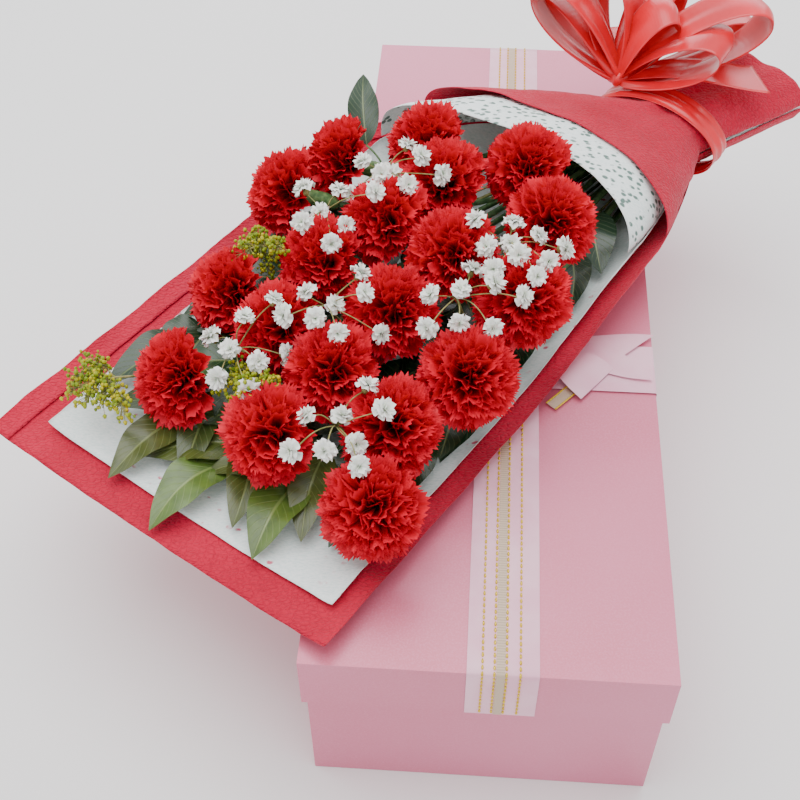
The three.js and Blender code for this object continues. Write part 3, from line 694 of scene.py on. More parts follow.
def smooth_path(points):
    """The polyline through points, cut finely and with its corners rounded."""
    points = np.asarray(points, float)
    lengths = np.concatenate([[0], np.cumsum(np.linalg.norm(np.diff(points, axis=0), axis=1))])
    places = np.linspace(0, lengths[-1], PATH_STEPS)
    path = np.stack([np.interp(places, lengths, points[:, i]) for i in range(3)], axis=1)
    for _ in range(PATH_PASSES):
        path[1:-1] = (path[:-2] + 2 * path[1:-1] + path[2:]) / 4
    return path


def stem_path(layer, column, foot, direction):
    cut, slot = stem_start(layer, column)
    run = (slot + foot) / 2
    run[2] = bed_height(layer, run[0], run[1])
    before = foot - direction * np.linalg.norm(foot - slot) * 0.12
    before[2] = max(before[2], bed_height(layer, before[0], before[1]))
    return smooth_path([cut, slot, run, before, foot])


def sprig_path(layer, column, top):
    cut, slot = stem_start(layer, column)
    bed = bed_height(layer, top[0], top[1])
    under = np.array([top[0], top[1], min(bed + 2, top[2] - SPRIG_RISE)])
    run = (slot + under) / 2
    run[2] = bed_height(layer, run[0], run[1])
    turn = lerp(under, slot, 0.08)
    turn[2] = bed_height(layer, turn[0], turn[1])
    fork = np.array([top[0], top[1], top[2] - SPRIG_RISE])
    return smooth_path([cut, slot, run, turn, fork]), fork


# ---- Carnations ----
PETAL_COUNT = 62
PETAL_ROWS, PETAL_COLUMNS = 8, 25
# From the outermost petals to the innermost: lean, reach, width and height of ruffles.
PETAL_LEAN = (-0.3, 1.0)
PETAL_REACH = (31.5, 24.0)
PETAL_WIDTH = (30.0, 19.0)
PETAL_RUFFLE = (3.4, 4.6)
CALYX_PROFILE = ([0, 0.15, 0.4, 0.85, 1], [0.35, 0.8, 1.0, 0.95, 1.1])


def petal(mesher, order, angle, turn, centre, rng):
    """One ruffled, pinked petal. order goes from the outermost (0) to the innermost (1)."""
    u = np.linspace(-1, 1, PETAL_COLUMNS)[None, :]
    v = np.linspace(0, 1, PETAL_ROWS)[:, None]
    lean = math.acos(lerp(*PETAL_LEAN, order))
    reach = lerp(*PETAL_REACH, order) * rng.uniform(0.92, 1.06)
    tip = (reach * math.sin(lean), reach * math.cos(lean) * 0.86 - 2)
    base = (lerp(4.0, 1.0, order), -20.0)
    control = (lerp(7.5, 1.0, order) + tip[0] * 0.12, lerp(-6.0, 2.0, order))
    teeth = rng.integers(9, 12)
    notch = np.abs(((u + 1) * teeth / 2 + rng.uniform()) % 1 - 0.5) * 2
    run = v * (1 - 0.14 * u**2 + 0.11 * notch * v**4)
    radial, height = (bezier(run, *ends) for ends in zip(base, control, tip))
    slope_r, slope_z = (bezier_slope(run, *ends) for ends in zip(base, control, tip))
    length = np.sqrt(slope_r**2 + slope_z**2)
    width = lerp(*PETAL_WIDTH, order) * rng.uniform(0.9, 1.1) * (0.16 + 0.84 * v**0.85)
    ruffle = lerp(*PETAL_RUFFLE, order) * v**1.3 * np.sin(u * rng.uniform(3.6, 5.2) + any_phase(rng))
    frill = 1.5 * v**3 * np.sin(u * rng.uniform(10, 14) + any_phase(rng))
    cup = 2.2 * v * u**2
    lift = ruffle + frill + cup
    radial = radial - lift * slope_z / length
    height = height + lift * slope_r / length
    side = u * width / 2 * (1 + 0.06 * np.sin(v * 9 + any_phase(rng)))
    squeeze = 0.75 + 0.25 * np.abs(np.cos(u * 2.2))
    local = stacked(radial, side * squeeze, height) @ spin(angle).T
    mesher.grid(local @ turn.T + centre, stacked(v, np.abs(u), rng.uniform()))


def carnation(name, layer, column, head, seed):
    rng = np.random.default_rng(seed)
    tilt, turn = head[3:]
    centre = head_centre(head)
    swing = bearing_from(centre[0], centre[1]) + math.radians(turn)
    level = math.cos(math.radians(tilt))
    axis = np.array([-math.sin(swing) * level, -math.cos(swing) * level, math.sin(math.radians(tilt))])
    frame_turn = rotation_to(axis, any_phase(rng))
    mesher = Mesher()
    for i in range(PETAL_COUNT):
        order = (i + 0.5) / PETAL_COUNT
        petal(mesher, order, i * GOLDEN_ANGLE + rng.uniform(-0.2, 0.2), frame_turn, centre, rng)
    foot = centre - axis * (CALYX_LENGTH + HEAD_RADIUS * 0.88)
    share = np.linspace(0, 1, 9)
    calyx_path = foot + axis * (share * (CALYX_LENGTH + 4))[:, None]
    calyx_radius = CALYX_RADIUS * np.interp(share, *CALYX_PROFILE)
    mesher.tube(calyx_path, calyx_radius, 10, slot=1)
    mesher.tube(stem_path(layer, column, foot + axis * 2, axis), STEM_RADIUS, 7, slot=2)
    place(mesher.build(name, [PETAL, CALYX, STEM], bouquet_to_world), "petal", name)


# ---- Baby's breath ----
SPRIG_RADIUS, STALK_RADIUS = 0.9, 0.45
FLORET_PETALS = 20
FLORET_COUNTS = (7, 11)
FLORET_SIZES = (6.2, 7.6)
BREATH_LIFT = 5.5


def floret(mesher, centre, size, axis, rng):
    """A small double flower: crumpled petals round a green cup."""
    turn = rotation_to(axis, any_phase(rng))
    u = np.linspace(-1, 1, 5)[None, :]
    v = np.linspace(0, 1, 4)[:, None]
    for i in range(FLORET_PETALS):
        order = (i + 0.5) / FLORET_PETALS
        lean = math.acos(lerp(-0.35, 1.0, order))
        far = size * rng.uniform(0.85, 1.1) * v**0.8
        bend = lean * (0.35 + 0.65 * v) * (1 - 0.1 * u**2)
        crumple = size * 0.14 * v * np.sin(u * 4 + any_phase(rng))
        radial = far * np.sin(bend) + crumple
        side = u * size * 0.42 * (0.3 + 0.7 * v)
        height = far * np.cos(bend) - size * 0.25 + crumple
        local = stacked(radial, side, height) @ spin(i * GOLDEN_ANGLE).T
        mesher.grid(local @ turn.T + centre, stacked(v, v, order))
    cup = np.asarray(centre) - np.asarray(axis) * size * 0.55
    mesher.ball(cup, (size * 0.32, size * 0.32, size * 0.4), 6, slot=1)


def arch(start, end, rise, rng, steps=9):
    """A thin stalk's path that rises before it reaches out to its end."""
    start = np.asarray(start, float)
    end = np.asarray(end, float)
    t = np.linspace(0, 1, steps)[:, None]
    path = lerp(start, end, t)
    path[:, 2] += (rise * np.sin(math.pi * t))[:, 0]
    path[:, :2] += np.sin(math.pi * t) * rng.uniform(-3, 3, 2)
    return path


def babys_breath(name, layer, column, place_in_pitches, seed):
    rng = np.random.default_rng(seed)
    top = np.array(place_in_pitches) * HEAD_PITCH + np.array([0, 0, FIRST_BED + BREATH_LIFT])
    path, fork = sprig_path(layer, column, top)
    mesher = Mesher()
    mesher.tube(path, SPRIG_RADIUS, 5, slot=1)
    count = rng.integers(*FLORET_COUNTS)
    start = rng.uniform(0, 2 * math.pi)
    for i in range(count):
        reach = FLORET_SPREAD * math.sqrt((i + 0.5) / count)
        around = start + i * GOLDEN_ANGLE
        x = top[0] + FLORET_DRIFT[0] + reach * math.cos(around)
        y = top[1] + FLORET_DRIFT[1] + reach * math.sin(around)
        centre = np.array([x, y, above_heads(x, y, top[2] - 12 + rng.uniform(-6, 4))])
        outward = centre - fork
        outward[2] = abs(outward[2]) + 10
        axis = outward / np.linalg.norm(outward)
        size = rng.uniform(*FLORET_SIZES)
        floret(mesher, centre, size, axis, rng)
        mesher.tube(arch(fork, centre - axis * size * 0.6, 3, rng), STALK_RADIUS, 4, slot=1)
    place(mesher.build(name, [FLORET, STALK], bouquet_to_world), "floret", name)


# ---- Goldenrod ----
SPRAY_COUNT, SPRAY_FAN = 6, 75
BUDS_AT_A_STEP, BUDLESS_STEPS = 8, 4
BUD_SIZES, BUD_AWAY = (0.9, 1.6), (3, 9)


def goldenrod(name, layer, column, place_in_pitches, seed):
    rng = np.random.default_rng(seed)
    top = np.array(place_in_pitches) * HEAD_PITCH + np.array([0, 0, FIRST_BED])
    path, fork = sprig_path(layer, column, top)
    mesher = Mesher()
    mesher.tube(path, SPRIG_RADIUS, 5, slot=1)
    away = bearing_from(top[0], top[1])
    for i in range(SPRAY_COUNT):
        heading = away + math.radians(lerp(-SPRAY_FAN, SPRAY_FAN, i / (SPRAY_COUNT - 1)))
        reach = SPRAY_REACH * rng.uniform(0.6, 1.15)
        x = top[0] - reach * math.sin(heading)
        y = top[1] - reach * math.cos(heading)
        spot = np.array([x, y, above_heads(x, y, top[2] - 24)])
        stalk = arch(fork, spot, 4, rng, 12)
        mesher.tube(stalk, np.linspace(0.8, 0.4, len(stalk)), 4, slot=1)
        for step in range(BUDLESS_STEPS, len(stalk)):
            for _ in range(BUDS_AT_A_STEP):
                aside = rng.normal(0, 1, 3)
                aside /= np.linalg.norm(aside)
                bud = stalk[step] + aside * rng.uniform(*BUD_AWAY)
                mesher.tube([stalk[step - 1], bud], 0.25, 3, slot=1)
                size = rng.uniform(*BUD_SIZES)
                ripeness = rng.uniform(0, 1) ** 1.4
                mesher.ball(bud, (size, size, size * 1.2), 5, (0, 0, ripeness))
    place(mesher.build(name, [BUD, STALK], bouquet_to_world), "bud", name)


# ---- Leafy twigs ----
LEAF_CLEARANCE = 1.2
LEAF_LIFT, LEVEL_LIFT, PAIR_LIFT = 5, 3, 5
DARK_FROM_PAIR = 3


def leaf_blade(mesher, base, tip, width, tone_value, rng):
    """An oval blade, folded a little along its midrib, arched from base to tip."""
    base = np.asarray(base, float)
    tip = np.asarray(tip, float)
    forward = tip - base
    length = np.linalg.norm(forward)
    forward /= length
    side = np.cross(forward, [0, 0, 1])
    side /= np.linalg.norm(side)
    up = np.cross(side, forward)
    u = np.linspace(-1, 1, 13)[None, :]
    r = np.linspace(0, 1, 18)[:, None]
    half = width / 2 * np.sin(math.pi * r**0.8) ** 0.85 * (1 - 0.12 * r) + 0.25
    half = half * np.where(r > 0.9, np.sqrt(np.clip((1 - r) / 0.1, 0, 1)) * 0.4 + 0.6, 1)
    arching = length * 0.1 * np.sin(math.pi * r) * rng.uniform(0.5, 1.3)
    fold = half * np.abs(u) * rng.uniform(0.12, 0.3)
    wave = width * 0.05 * np.sin(r * rng.uniform(9, 14) + any_phase(rng)) * u**2 * np.sin(math.pi * r)
    bend = rng.uniform(-0.06, 0.06) * length * np.sin(math.pi * r)
    points = (
        base
        + forward * (r * length)[..., None]
        + side * (u * half + bend)[..., None]
        + up * (arching + fold + wave)[..., None]
    )
    floor = white_top(points[..., 0], points[..., 1]) + LEAF_CLEARANCE
    points[..., 2] = np.maximum(points[..., 2], floor)
    mesher.grid(points, stacked(np.abs(u), r, tone_value))


def twig_end(twig):
    return np.array([WHITE_SHIFT + twig[0] * WHITE_WIDTH / 2, twig[1] * HEAD_PITCH])


def twig_path(column, twig):
    cut, slot = stem_start(0, column)
    end = twig_end(twig)
    rest = LEAF_REST + twig[2] * LEAF_LEVEL + TWIG_DIAMETER / 2
    points = [cut, slot]
    for i in range(1, 6):
        x, y = lerp(slot[:2], end, i / 5)
        settled = min(1, i / 2)
        points.append(np.array([x, y, lerp(slot[2], white_top(x, y) + rest, settled)]))
    return smooth_path(points)


def leafy_twig(name, column, twig, seed):
    """A leaf at the twig's end and pairs behind it, higher and darker towards the stems."""
    rng = np.random.default_rng(seed)
    mesher = Mesher()
    mesher.tube(twig_path(column, twig), TWIG_DIAMETER / 2, 6, slot=1)
    end = twig_end(twig)
    heading = bearing_from(*end)
    spots = [(0, 0)] + [(side, pair) for pair in range(1, LEAF_PAIRS + 1) for side in (1, -1)]
    for side, pair in spots:
        back = LEAF_PAIR_STEP * (pair - LEAF_FIRST_BACK - LEAF_STAGGER * (side > 0)) * (pair > 0)
        x = end[0] + math.sin(heading) * back
        y = end[1] + math.cos(heading) * back
        way = heading + math.radians(side * LEAF_SPLAY + rng.uniform(-12, 12))
        size = LEAF_END_SIZE if pair == 0 else 1
        length = LEAF_LENGTH * size * rng.uniform(0.85, 1.05)
        edge = WHITE_WIDTH / 2 - LEAF_EDGE
        tip_x = np.clip(x - math.sin(way) * length, WHITE_SHIFT - edge, WHITE_SHIFT + edge)
        tip_y = y - math.cos(way) * length
        level = LEAF_LIFT + LEVEL_LIFT * twig[2] + PAIR_LIFT * pair
        base = np.array([x, y, white_top(x, y) + level])
        tip = np.array([tip_x, tip_y, white_top(tip_x, tip_y) + level * 0.6])
        darker = min(1, pair / DARK_FROM_PAIR)
        tone_value = lerp(twig[3], INNER_TONE, darker) + rng.uniform(-0.04, 0.06)
        leaf_blade(mesher, base, tip, LEAF_WIDTH * size * rng.uniform(0.75, 1.1), tone_value, rng)
    place(mesher.build(name, [LEAF, STEM], bouquet_to_world), "leaf", name)


# ---- Papers ----
SIDE_CURL, CURL_START, LEFT_CURL = 24, 210, 0.35
PLEAT_WAVES, PLEAT_SUM = 5, 2.2
BACK_SEED, FRONT_SEED = 11, 21
RED_DIP, WHITE_DIP = 26, 20
FOLD_COLUMNS, FOLD_LIFT = 12, 1.5
NECK_ARC, RED_RIM_ARC, WHITE_RIM_ARC = 0.125, 0.26, 0.29
RED_PAPER = (CREPE, "red_paper", 0.45)
WHITE_PAPER = (LACE, "white_paper", 0.35)
WHITE_COLLAR = (LACE_COLLAR, "white_paper", 0.35)


def side_lift(u, along):
    """How far the papers' sides curl up beside the flowers, before the neck gathers them."""
    rise = smoothstep(CURL_START, WHITE_RIM, along) * (1 - smoothstep(WHITE_RIM, TIE_ALONG, along))
    return SIDE_CURL * rise * np.where(u > 0.5, 1.0, LEFT_CURL)


def pleats(u, along, depth, seed):
    """Folds that run into the neck: none on the flat sheet, deep at the tie."""
    rng = np.random.default_rng(seed)
    near = smoothstep(RED_RIM + 10, TIE_ALONG, along)
    folds = sum(
        np.sin(2 * math.pi * (u * rng.uniform(3, 9)) + any_phase(rng)) * rng.uniform(0.4, 1)
        for _ in range(PLEAT_WAVES)
    )
    return depth * near * folds / PLEAT_SUM


def back_sheet(width, shift, layer, start):
    """The paper under the flowers, from its foot to the handle's end."""
    u = np.linspace(0, 1, 81)[None, :]
    along = np.linspace(start, HANDLE_END, 151)[:, None]
    centre, half, low, side, _ = section(along, width, shift, layer * PAPER_STEP + PAPER / 2)
    angle = (u - 0.5) * math.pi
    side = side + side_lift(u, along)
    x = centre + half * np.sin(angle)
    z = side - (side - low) * np.cos(angle)
    z = z + 0.45 * ripple(x, along, 45, BACK_SEED) + 0.25 * ripple(x, along, 16, BACK_SEED + 1)
    z = z + pleats(u, along, 1.2, BACK_SEED + 2) * (1 - 0.5 * np.cos(angle))
    return stacked(x, along, z)


def turned_over(points, columns, lift):
    """The sheet with that many columns of its left edge folded back over it."""
    fold = points[:, columns:0:-1] + np.array([0, 0, lift])
    return np.concatenate([fold, points], axis=1)


def collar(width, shift, layer, rim, dip):
    """The front paper. Its rim stands furthest from the neck at the right side."""
    u = np.linspace(0, 1, 97)[None, :]
    share = np.linspace(0, 1, 97)[:, None]
    start = rim - dip * smoothstep(0.55, 1.0, u) + 4 * np.sin(u * 7 + FRONT_SEED)
    along = lerp(start, HANDLE_END, share)
    centre, half, _, side, crown = section(along, width, shift, layer * PAPER_STEP + PAPER / 2)
    angle = (u - 0.5) * math.pi
    foot = side + side_lift(u, along) + PAPER_STEP
    x = centre + half * np.sin(angle)
    z = foot + (crown - foot) * np.cos(angle) ** 0.85
    wobble = 0.8 * ripple(x, along, 70, FRONT_SEED) + 0.25 * ripple(x, along, 20, FRONT_SEED + 1)
    lift = wobble + pleats(u, along, 1.6, FRONT_SEED + 2)
    return stacked(x + lift * np.sin(angle), along, z + lift * np.cos(angle))


def paper(name, points, kind, flat, held, under, node, area=None):
    """One sheet of paper. kind is its material, slot and thickness."""
    material, slot, thickness = kind
    mesher = Mesher()
    mesher.grid(points)
    piece = mesher.build(name, [material], bouquet_to_world)
    thicken(piece, thickness)
    place(piece, slot, node)


def tapered_area(rim_arc, rim):
    """A collar's cut narrows from its rim to the neck, then runs on as wide as the neck."""
    taper = (TIE_ALONG - rim) * MM
    return (rim_arc + NECK_ARC) / 2 * taper + NECK_ARC * HANDLE_LENGTH * MM


def build_papers():
    points = turned_over(back_sheet(RED_WIDTH, RED_SHIFT, 0, 0), FOLD_COLUMNS, FOLD_LIFT)
    paper("red_back_paper", points, RED_PAPER, (0.296, 0.62), "laid", "lid_ribbons", "red_back_sheet")
    points = back_sheet(WHITE_WIDTH, WHITE_SHIFT, 1, WHITE_MARGIN)
    flat = (0.244, 0.596)
    paper("white_back_paper", points, WHITE_PAPER, flat, "laid", "red_back_paper", "white_back_sheet")
    points = collar(RED_WIDTH, RED_SHIFT, 0, RED_RIM, RED_DIP)
    area = tapered_area(RED_RIM_ARC, RED_RIM)
    flat = (RED_RIM_ARC, 0.2)
    paper("red_front_paper", points, RED_PAPER, flat, "gathered", "white_front_paper", "red_collar", area)
    points = collar(WHITE_WIDTH, WHITE_SHIFT, 1, WHITE_RIM, WHITE_DIP)
    area = tapered_area(WHITE_RIM_ARC, WHITE_RIM)
    flat = (WHITE_RIM_ARC, 0.24)
    under = "satin_band_wrap"
    paper("white_front_paper", points, WHITE_COLLAR, flat, "gathered", under, "white_collar", area)


# ---- Satin ribbon ----
SATIN_WIDTH, SATIN_ROOT, SATIN = 38, 10, 1
BAND_WIDTH, BAND_LENGTH = SATIN_WIDTH * 0.6, 270
BOW_KNOT, BOW_KNOT_LEAN = 20, math.radians(-38)
RIBBON_THICKNESS = 0.4

# Loops: heading across the lid from the bouquet's +x, lift, reach, opening and roll.
BOW_LOOPS = [
    (186, 40, 98, 46, 10),
    (168, 26, 88, 36, 0),
    (138, 62, 84, 36, 40),
    (92, 34, 86, 40, 0),
    (46, 58, 66, 34, 0),
    (38, 28, 120, 50, 0),
    (16, 30, 90, 34, 0),
    (60, 10, 118, 36, 0),
]
BOW_TAILS = [(26, 8, 116), (120, 14, 62)]


def bow_turn(heading, lift, roll=0.0):
    turn = Matrix.Rotation(math.radians(heading), 3, "Z")
    turn = turn @ Matrix.Rotation(math.radians(-lift), 3, "Y")
    return np.array(turn @ Matrix.Rotation(math.radians(roll), 3, "X"))


def bow_loop(mesher, loop, knot, seed):
    heading, lift, reach, opening, roll = loop
    rng = np.random.default_rng(seed)
    u = np.linspace(-1, 1, 15)[None, :]
    angle = lerp(0.2, 2 * math.pi - 0.2, np.linspace(0, 1, 57))[:, None]
    out = (1 - np.cos(angle)) / 2
    width = lerp(SATIN_ROOT, SATIN_WIDTH, out**0.45)
    gather = (1 - out) ** 2
    crease = 2.2 * gather * np.cos(u * 6 + rng.uniform(0, 3))
    cup = 1.5 * out * (u**2 - 0.4) * rng.uniform(-1, 1)
    x = reach * out + 3 * np.sin(u * 2 + rng.uniform(0, 3)) * out
    z = opening / 2 * np.sin(angle) * np.sin(angle / 2) * (1 + 0.12 * u * rng.uniform(-1, 1))
    z = z + np.where(angle < math.pi, 2, -2) * (1 - out) + crease + cup
    y = u * width / 2 + 4 * np.sin(angle) * rng.uniform(-1, 1)
    points = stacked(x, y, z) @ bow_turn(heading, lift, roll).T + knot
    mesher.grid(points, stacked(u, angle / WHOLE_TURN, out))


def bow_tail(mesher, tail, knot):
    heading, lift, reach = tail
    u = np.linspace(-1, 1, 13)[None, :]
    v = np.linspace(0, 1, 40)[:, None]
    width = lerp(SATIN_ROOT, SATIN_WIDTH, v**0.5)
    wave = 6 * np.sin(v * math.pi * 1.4)
    x = reach * v * (1 - 0.12 * (u + 1) / 2 * smoothstep(0.6, 1.0, v))
    points = stacked(x, u * width / 2, wave + 1.5 * np.cos(u * 5) * (1 - v) ** 2)
    mesher.grid(points @ bow_turn(heading, lift).T + knot, stacked(u, v, v))


def build_satin():
    """The band round the neck, and the bow and its knot on the band."""
    past = BAND_WIDTH / 2 + 2 * TOUCH_GAP
    centre = np.array([NECK_SIDE + HANDLE_SLOPE * past, TIE_ALONG + past, TIE_HEIGHT])
    half = WRAP_HALF + (HANDLE_FLARE + HANDLE_SLOPE / 2) * BAND_WIDTH + PAPER_STEP + PAPER_GAP
    half_height = WRAP_HALF_HEIGHT + PAPER_STEP / 2 + 2 * TOUCH_GAP
    angle = np.linspace(0, 2 * math.pi, 120, endpoint=False)[None, :]
    v = np.linspace(-1, 1, 15)[:, None]
    crease = 0.7 * np.sin(v * 9 + 1.3 * np.sin(angle * 3)) + 0.5 * np.sin(v * 5 + angle * 2)
    across = np.cos(angle) * (half + 2 * TOUCH_GAP + crease)
    up = np.sin(angle) * (half_height + 2 * TOUCH_GAP + crease)
    mesher = Mesher()
    values = stacked(v, angle / WHOLE_TURN, 0)
    mesher.grid(stacked(across, v * BAND_WIDTH / 2, up) + centre, values, closed=True)
    wrap = mesher.build("satin_band_wrap", [SATIN_LOOK], bouquet_to_world)
    thicken(wrap, RIBBON_THICKNESS)
    place(wrap, "satin", "satin_band")

    out = BOW_KNOT / 2 + SATIN + 3 * TOUCH_GAP
    aside = (half + out) * math.sin(BOW_KNOT_LEAN)
    knot = centre + np.array([aside, 0, (half_height + out) * math.cos(BOW_KNOT_LEAN)])
    mesher = Mesher()
    for i, loop in enumerate(BOW_LOOPS):
        bow_loop(mesher, loop, knot, 40 + i)
    for tail in BOW_TAILS:
        bow_tail(mesher, tail, knot)
    bow = mesher.build("satin_bow_ribbon", [SATIN_LOOK], bouquet_to_world)
    thicken(bow, RIBBON_THICKNESS)
    place(bow, "satin", "satin_bow")

    polar = np.linspace(0, math.pi, 14)[:, None]
    around = np.linspace(0, 2 * math.pi, 28, endpoint=False)[None]
    radius = 9 + 0.9 * np.sin(around * 5 + polar)
    level = radius * np.sin(polar)
    ball = stacked(level * np.cos(around), level * np.sin(around), radius * 0.8 * np.cos(polar))
    mesher = Mesher()
    mesher.grid(ball + knot, stacked(np.cos(around), polar / 3, 0), closed=True)
    place(mesher.build("satin_knot", [SATIN_LOOK], bouquet_to_world), "satin")


# ---- Twine ----
TWINE_THICKNESS, TWINE_RADIUS = 1.8, 0.85
TWINE_TURNS, TWINE_REACH = 9, 7


def build_twine():
    """The twine is wound round the stems, turn beside turn."""
    angle = np.linspace(0, 2 * math.pi * TWINE_TURNS, 40 * TWINE_TURNS)
    along = np.linspace(-TWINE_REACH, TWINE_REACH, len(angle))
    across = np.cos(angle) * (TWINE_HALF + TWINE_THICKNESS / 2)
    up = np.sin(angle) * (TWINE_HALF_HEIGHT + TWINE_THICKNESS / 2)
    mesher = Mesher()
    mesher.tube(stacked(NECK_SIDE + across, TIE_ALONG + along, TIE_HEIGHT + up), TWINE_RADIUS, 6)
    place(mesher.build("stem_twine", [TWINE], bouquet_to_world), "twine", "stem_tie")


# ---- Flowers in their rows ----
def build_flowers():
    counts = {"carnation": 0, "babys_breath": 0, "goldenrod": 0}
    makers = {"carnation": carnation, "babys_breath": babys_breath, "goldenrod": goldenrod}
    for index, (heads, sprigs) in enumerate(zip(HEADS, SPRIG_ROWS)):
        layer = index + 1
        stems = [("carnation", head) for head in heads]
        stems += [(kind, sprig_at(kind, gap, beside)) for kind, gap, beside in sprigs]
        stems.sort(key=lambda stem: -bearing_from(stem[1][0] * HEAD_PITCH, stem[1][1] * HEAD_PITCH))
        for number, (kind, spot) in enumerate(stems):
            column = (number - (len(stems) - 1) / 2) * STEM_COLUMN
            counts[kind] += 1
            name = f"{kind}_{counts[kind]:02d}"
            makers[kind](name, layer, column, spot, 100 * layer + number)


def twig_list():
    """Each twig's share across, its place along in pitches, leaf level and tone."""
    twigs = []
    for i, tone_value in enumerate(FRONT_TONES):
        fan = 2 * i / (len(FRONT_TONES) - 1) - 1
        along = FRONT_TWIG_ALONG + FRONT_TWIG_BOW * fan**2
        twigs.append((fan * FRONT_TWIG_SHARE, along, i % 2, tone_value))
    for side in (-1, 1):
        twigs.append((side * SIDE_TWIG_SHARE, SIDE_TWIG_ALONG, 1, SIDE_TONE))
    return twigs


# The standing leaf: where it starts, in pitches and height, and the ways to tip and stalk.
STANDING_PLACE, STANDING_HEIGHT = (-1.65, 6.3), 44
STANDING_TIP, STANDING_STALK = (-36, 44, 26), (30, -10, -14)
STANDING_WIDTH, STANDING_TONE = 25, 0.12


def standing_leaf():
    """The one leaf that points up and out between the last heads and the collar."""
    mesher = Mesher()
    base = np.array([STANDING_PLACE[0] * HEAD_PITCH, STANDING_PLACE[1] * HEAD_PITCH, STANDING_HEIGHT])
    rng = np.random.default_rng(7)
    leaf_blade(mesher, base, base + STANDING_TIP, STANDING_WIDTH, STANDING_TONE, rng)
    stalk = arch(base + STANDING_STALK, base, 1, np.random.default_rng(8))
    mesher.tube(stalk, 0.8, 5, slot=1)
    place(mesher.build("standing_leaf", [LEAF, STEM], bouquet_to_world), "leaf")


def build_leaves():
    standing_leaf()
    twigs = sorted(twig_list(), key=lambda twig: -bearing_from(*twig_end(twig)))
    for number, twig in enumerate(twigs):
        column = (number - (len(twigs) - 1) / 2) * TWIG_COLUMN
        leafy_twig(f"leafy_twig_{number + 1:02d}", column, twig, 500 + number)


# ---- Box ----
CARD_ROUNDING = 0.7
RIM_STEPS, LID_STEPS = 14, 90
RIBBON_X, RIBBON_WIDTH, RIBBON_LENGTH, RIBBON_LIFT = 9, 42, 730, 0.3
CROSS_Y, CROSS_WIDTH, CROSS_LENGTH, CROSS_LIFT = -74, 44, 312, 1.1
GOLD_LINES = (-12, -5, 2, 10)
STRIP, STRIP_LIFT = (-4, 1.2), 0.2
STITCH_PITCH, STITCH_LENGTH = 4.2, 2.9


def card_piece(node, name):
    """The CAD tray with its board's edges rounded over, as wrapped card has."""
    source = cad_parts[node]
    piece = bpy.data.objects.new(name, source.data.copy())
    bpy.context.scene.collection.objects.link(piece)
    piece.data.materials.clear()
    piece.data.materials.append(CARD)
    bevel = piece.modifiers.new("rounded_edges", "BEVEL")
    bevel.width = CARD_ROUNDING * MM
    bevel.segments = 3
    bevel.limit_method = "ANGLE"
    place(piece, "box_card", node)
    return piece


def band_path(span, lift):
    """Down one rim, over the lid and down the other, as places across and heights."""
    inside = span / 2 + 0.55
    top = LID_TOP + lift + 0.25
    sides = np.linspace(LID_TOP - LID_DEPTH, top - 1, RIM_STEPS)
    over = np.linspace(1 - inside, inside - 1, LID_STEPS)
    across = np.concatenate([np.full(RIM_STEPS, -inside), over, np.full(RIM_STEPS, inside)])
    heights = np.concatenate([sides, np.full(LID_STEPS, top), sides[::-1]])
    return across, heights


def ribbon_over_lid(mesher, span, lift, middle, edges, lengthwise, slot=0, raise_by=0.0):
    """A strip of ribbon over the lid, between two distances from its middle line."""
    across, heights = (line[:, None] for line in band_path(span, lift))
    u = np.linspace(0, 1, max(3, int((edges[1] - edges[0]) / 3)))[None, :]
    aside = middle + lerp(*edges, u)
    run = across * (1 + raise_by * 0.004)
    level_axes = (aside, run) if lengthwise else (run, aside)
    share = np.linspace(0, 1, len(across))[:, None]
    mesher.grid(stacked(*level_axes, heights + raise_by), stacked(u, share, 0), slot)


def stitches(mesher, offset):
    """A row of gold stitches along the long ribbon and down over both rims."""
    across, heights = band_path(LID_LENGTH, RIBBON_LIFT)
    lengths = np.concatenate([[0], np.cumsum(np.hypot(np.diff(across), np.diff(heights)))])
    for start in np.arange(2, lengths[-1] - 4, STITCH_PITCH):
        places = np.linspace(start, start + STITCH_LENGTH, 4)
        y = np.interp(places, lengths, across)
        z = np.interp(places, lengths, heights)
        outward = 0.35 * np.sign(y) * (z < LID_TOP)
        path = stacked(RIBBON_X + offset, y + outward, z + 0.3 * (z >= LID_TOP))
        mesher.tube(path, [0.45, 0.8, 0.8, 0.45], 5)


def build_lid_ribbons():
    edges = (-RIBBON_WIDTH / 2, RIBBON_WIDTH / 2)
    mesher = Mesher()
    ribbon_over_lid(mesher, LID_LENGTH, RIBBON_LIFT, RIBBON_X, edges, True)
    long = mesher.build("lid_ribbons", [SHEER], box_to_world)
    place(long, "box_ribbon", "lid_ribbon_long")
    mesher = Mesher()
    ribbon_over_lid(mesher, LID_LENGTH, RIBBON_LIFT, RIBBON_X, STRIP, True, slot=1, raise_by=STRIP_LIFT)
    for offset in GOLD_LINES:
        stitches(mesher, offset)
    trim = mesher.build("lid_ribbon_trim", [GOLD, BEIGE], box_to_world)
    place(trim, "box_ribbon")
    edges = (-CROSS_WIDTH / 2, CROSS_WIDTH / 2)
    mesher = Mesher()
    ribbon_over_lid(mesher, LID_WIDTH, CROSS_LIFT, CROSS_Y, edges, False)
    cross = mesher.build("lid_cross_ribbon", [SHEER], box_to_world)
    place(cross, "box_ribbon", "lid_ribbon_cross")


# The box bow's visible parts, each a ribbon from the knot to where its middle line ends.
BOW_WIDTH = 34
BOX_BOW_KNOT, BOX_BOW_LIFT = (27, -58), 1.9
BOW_TAIL_END, BOW_TAIL_SPREAD, BOW_TAIL_NOTCH = (110, -64), 44, 20
BOW_LOOP_END, BOW_LOOP_SPREAD = (70, -91), 38
BOW_FRONT_END = (0, -130)
BOW_GOLD_START, BOW_GOLD_END, BOW_GOLD_WIDTH = (54, -95), (38, -113), 8


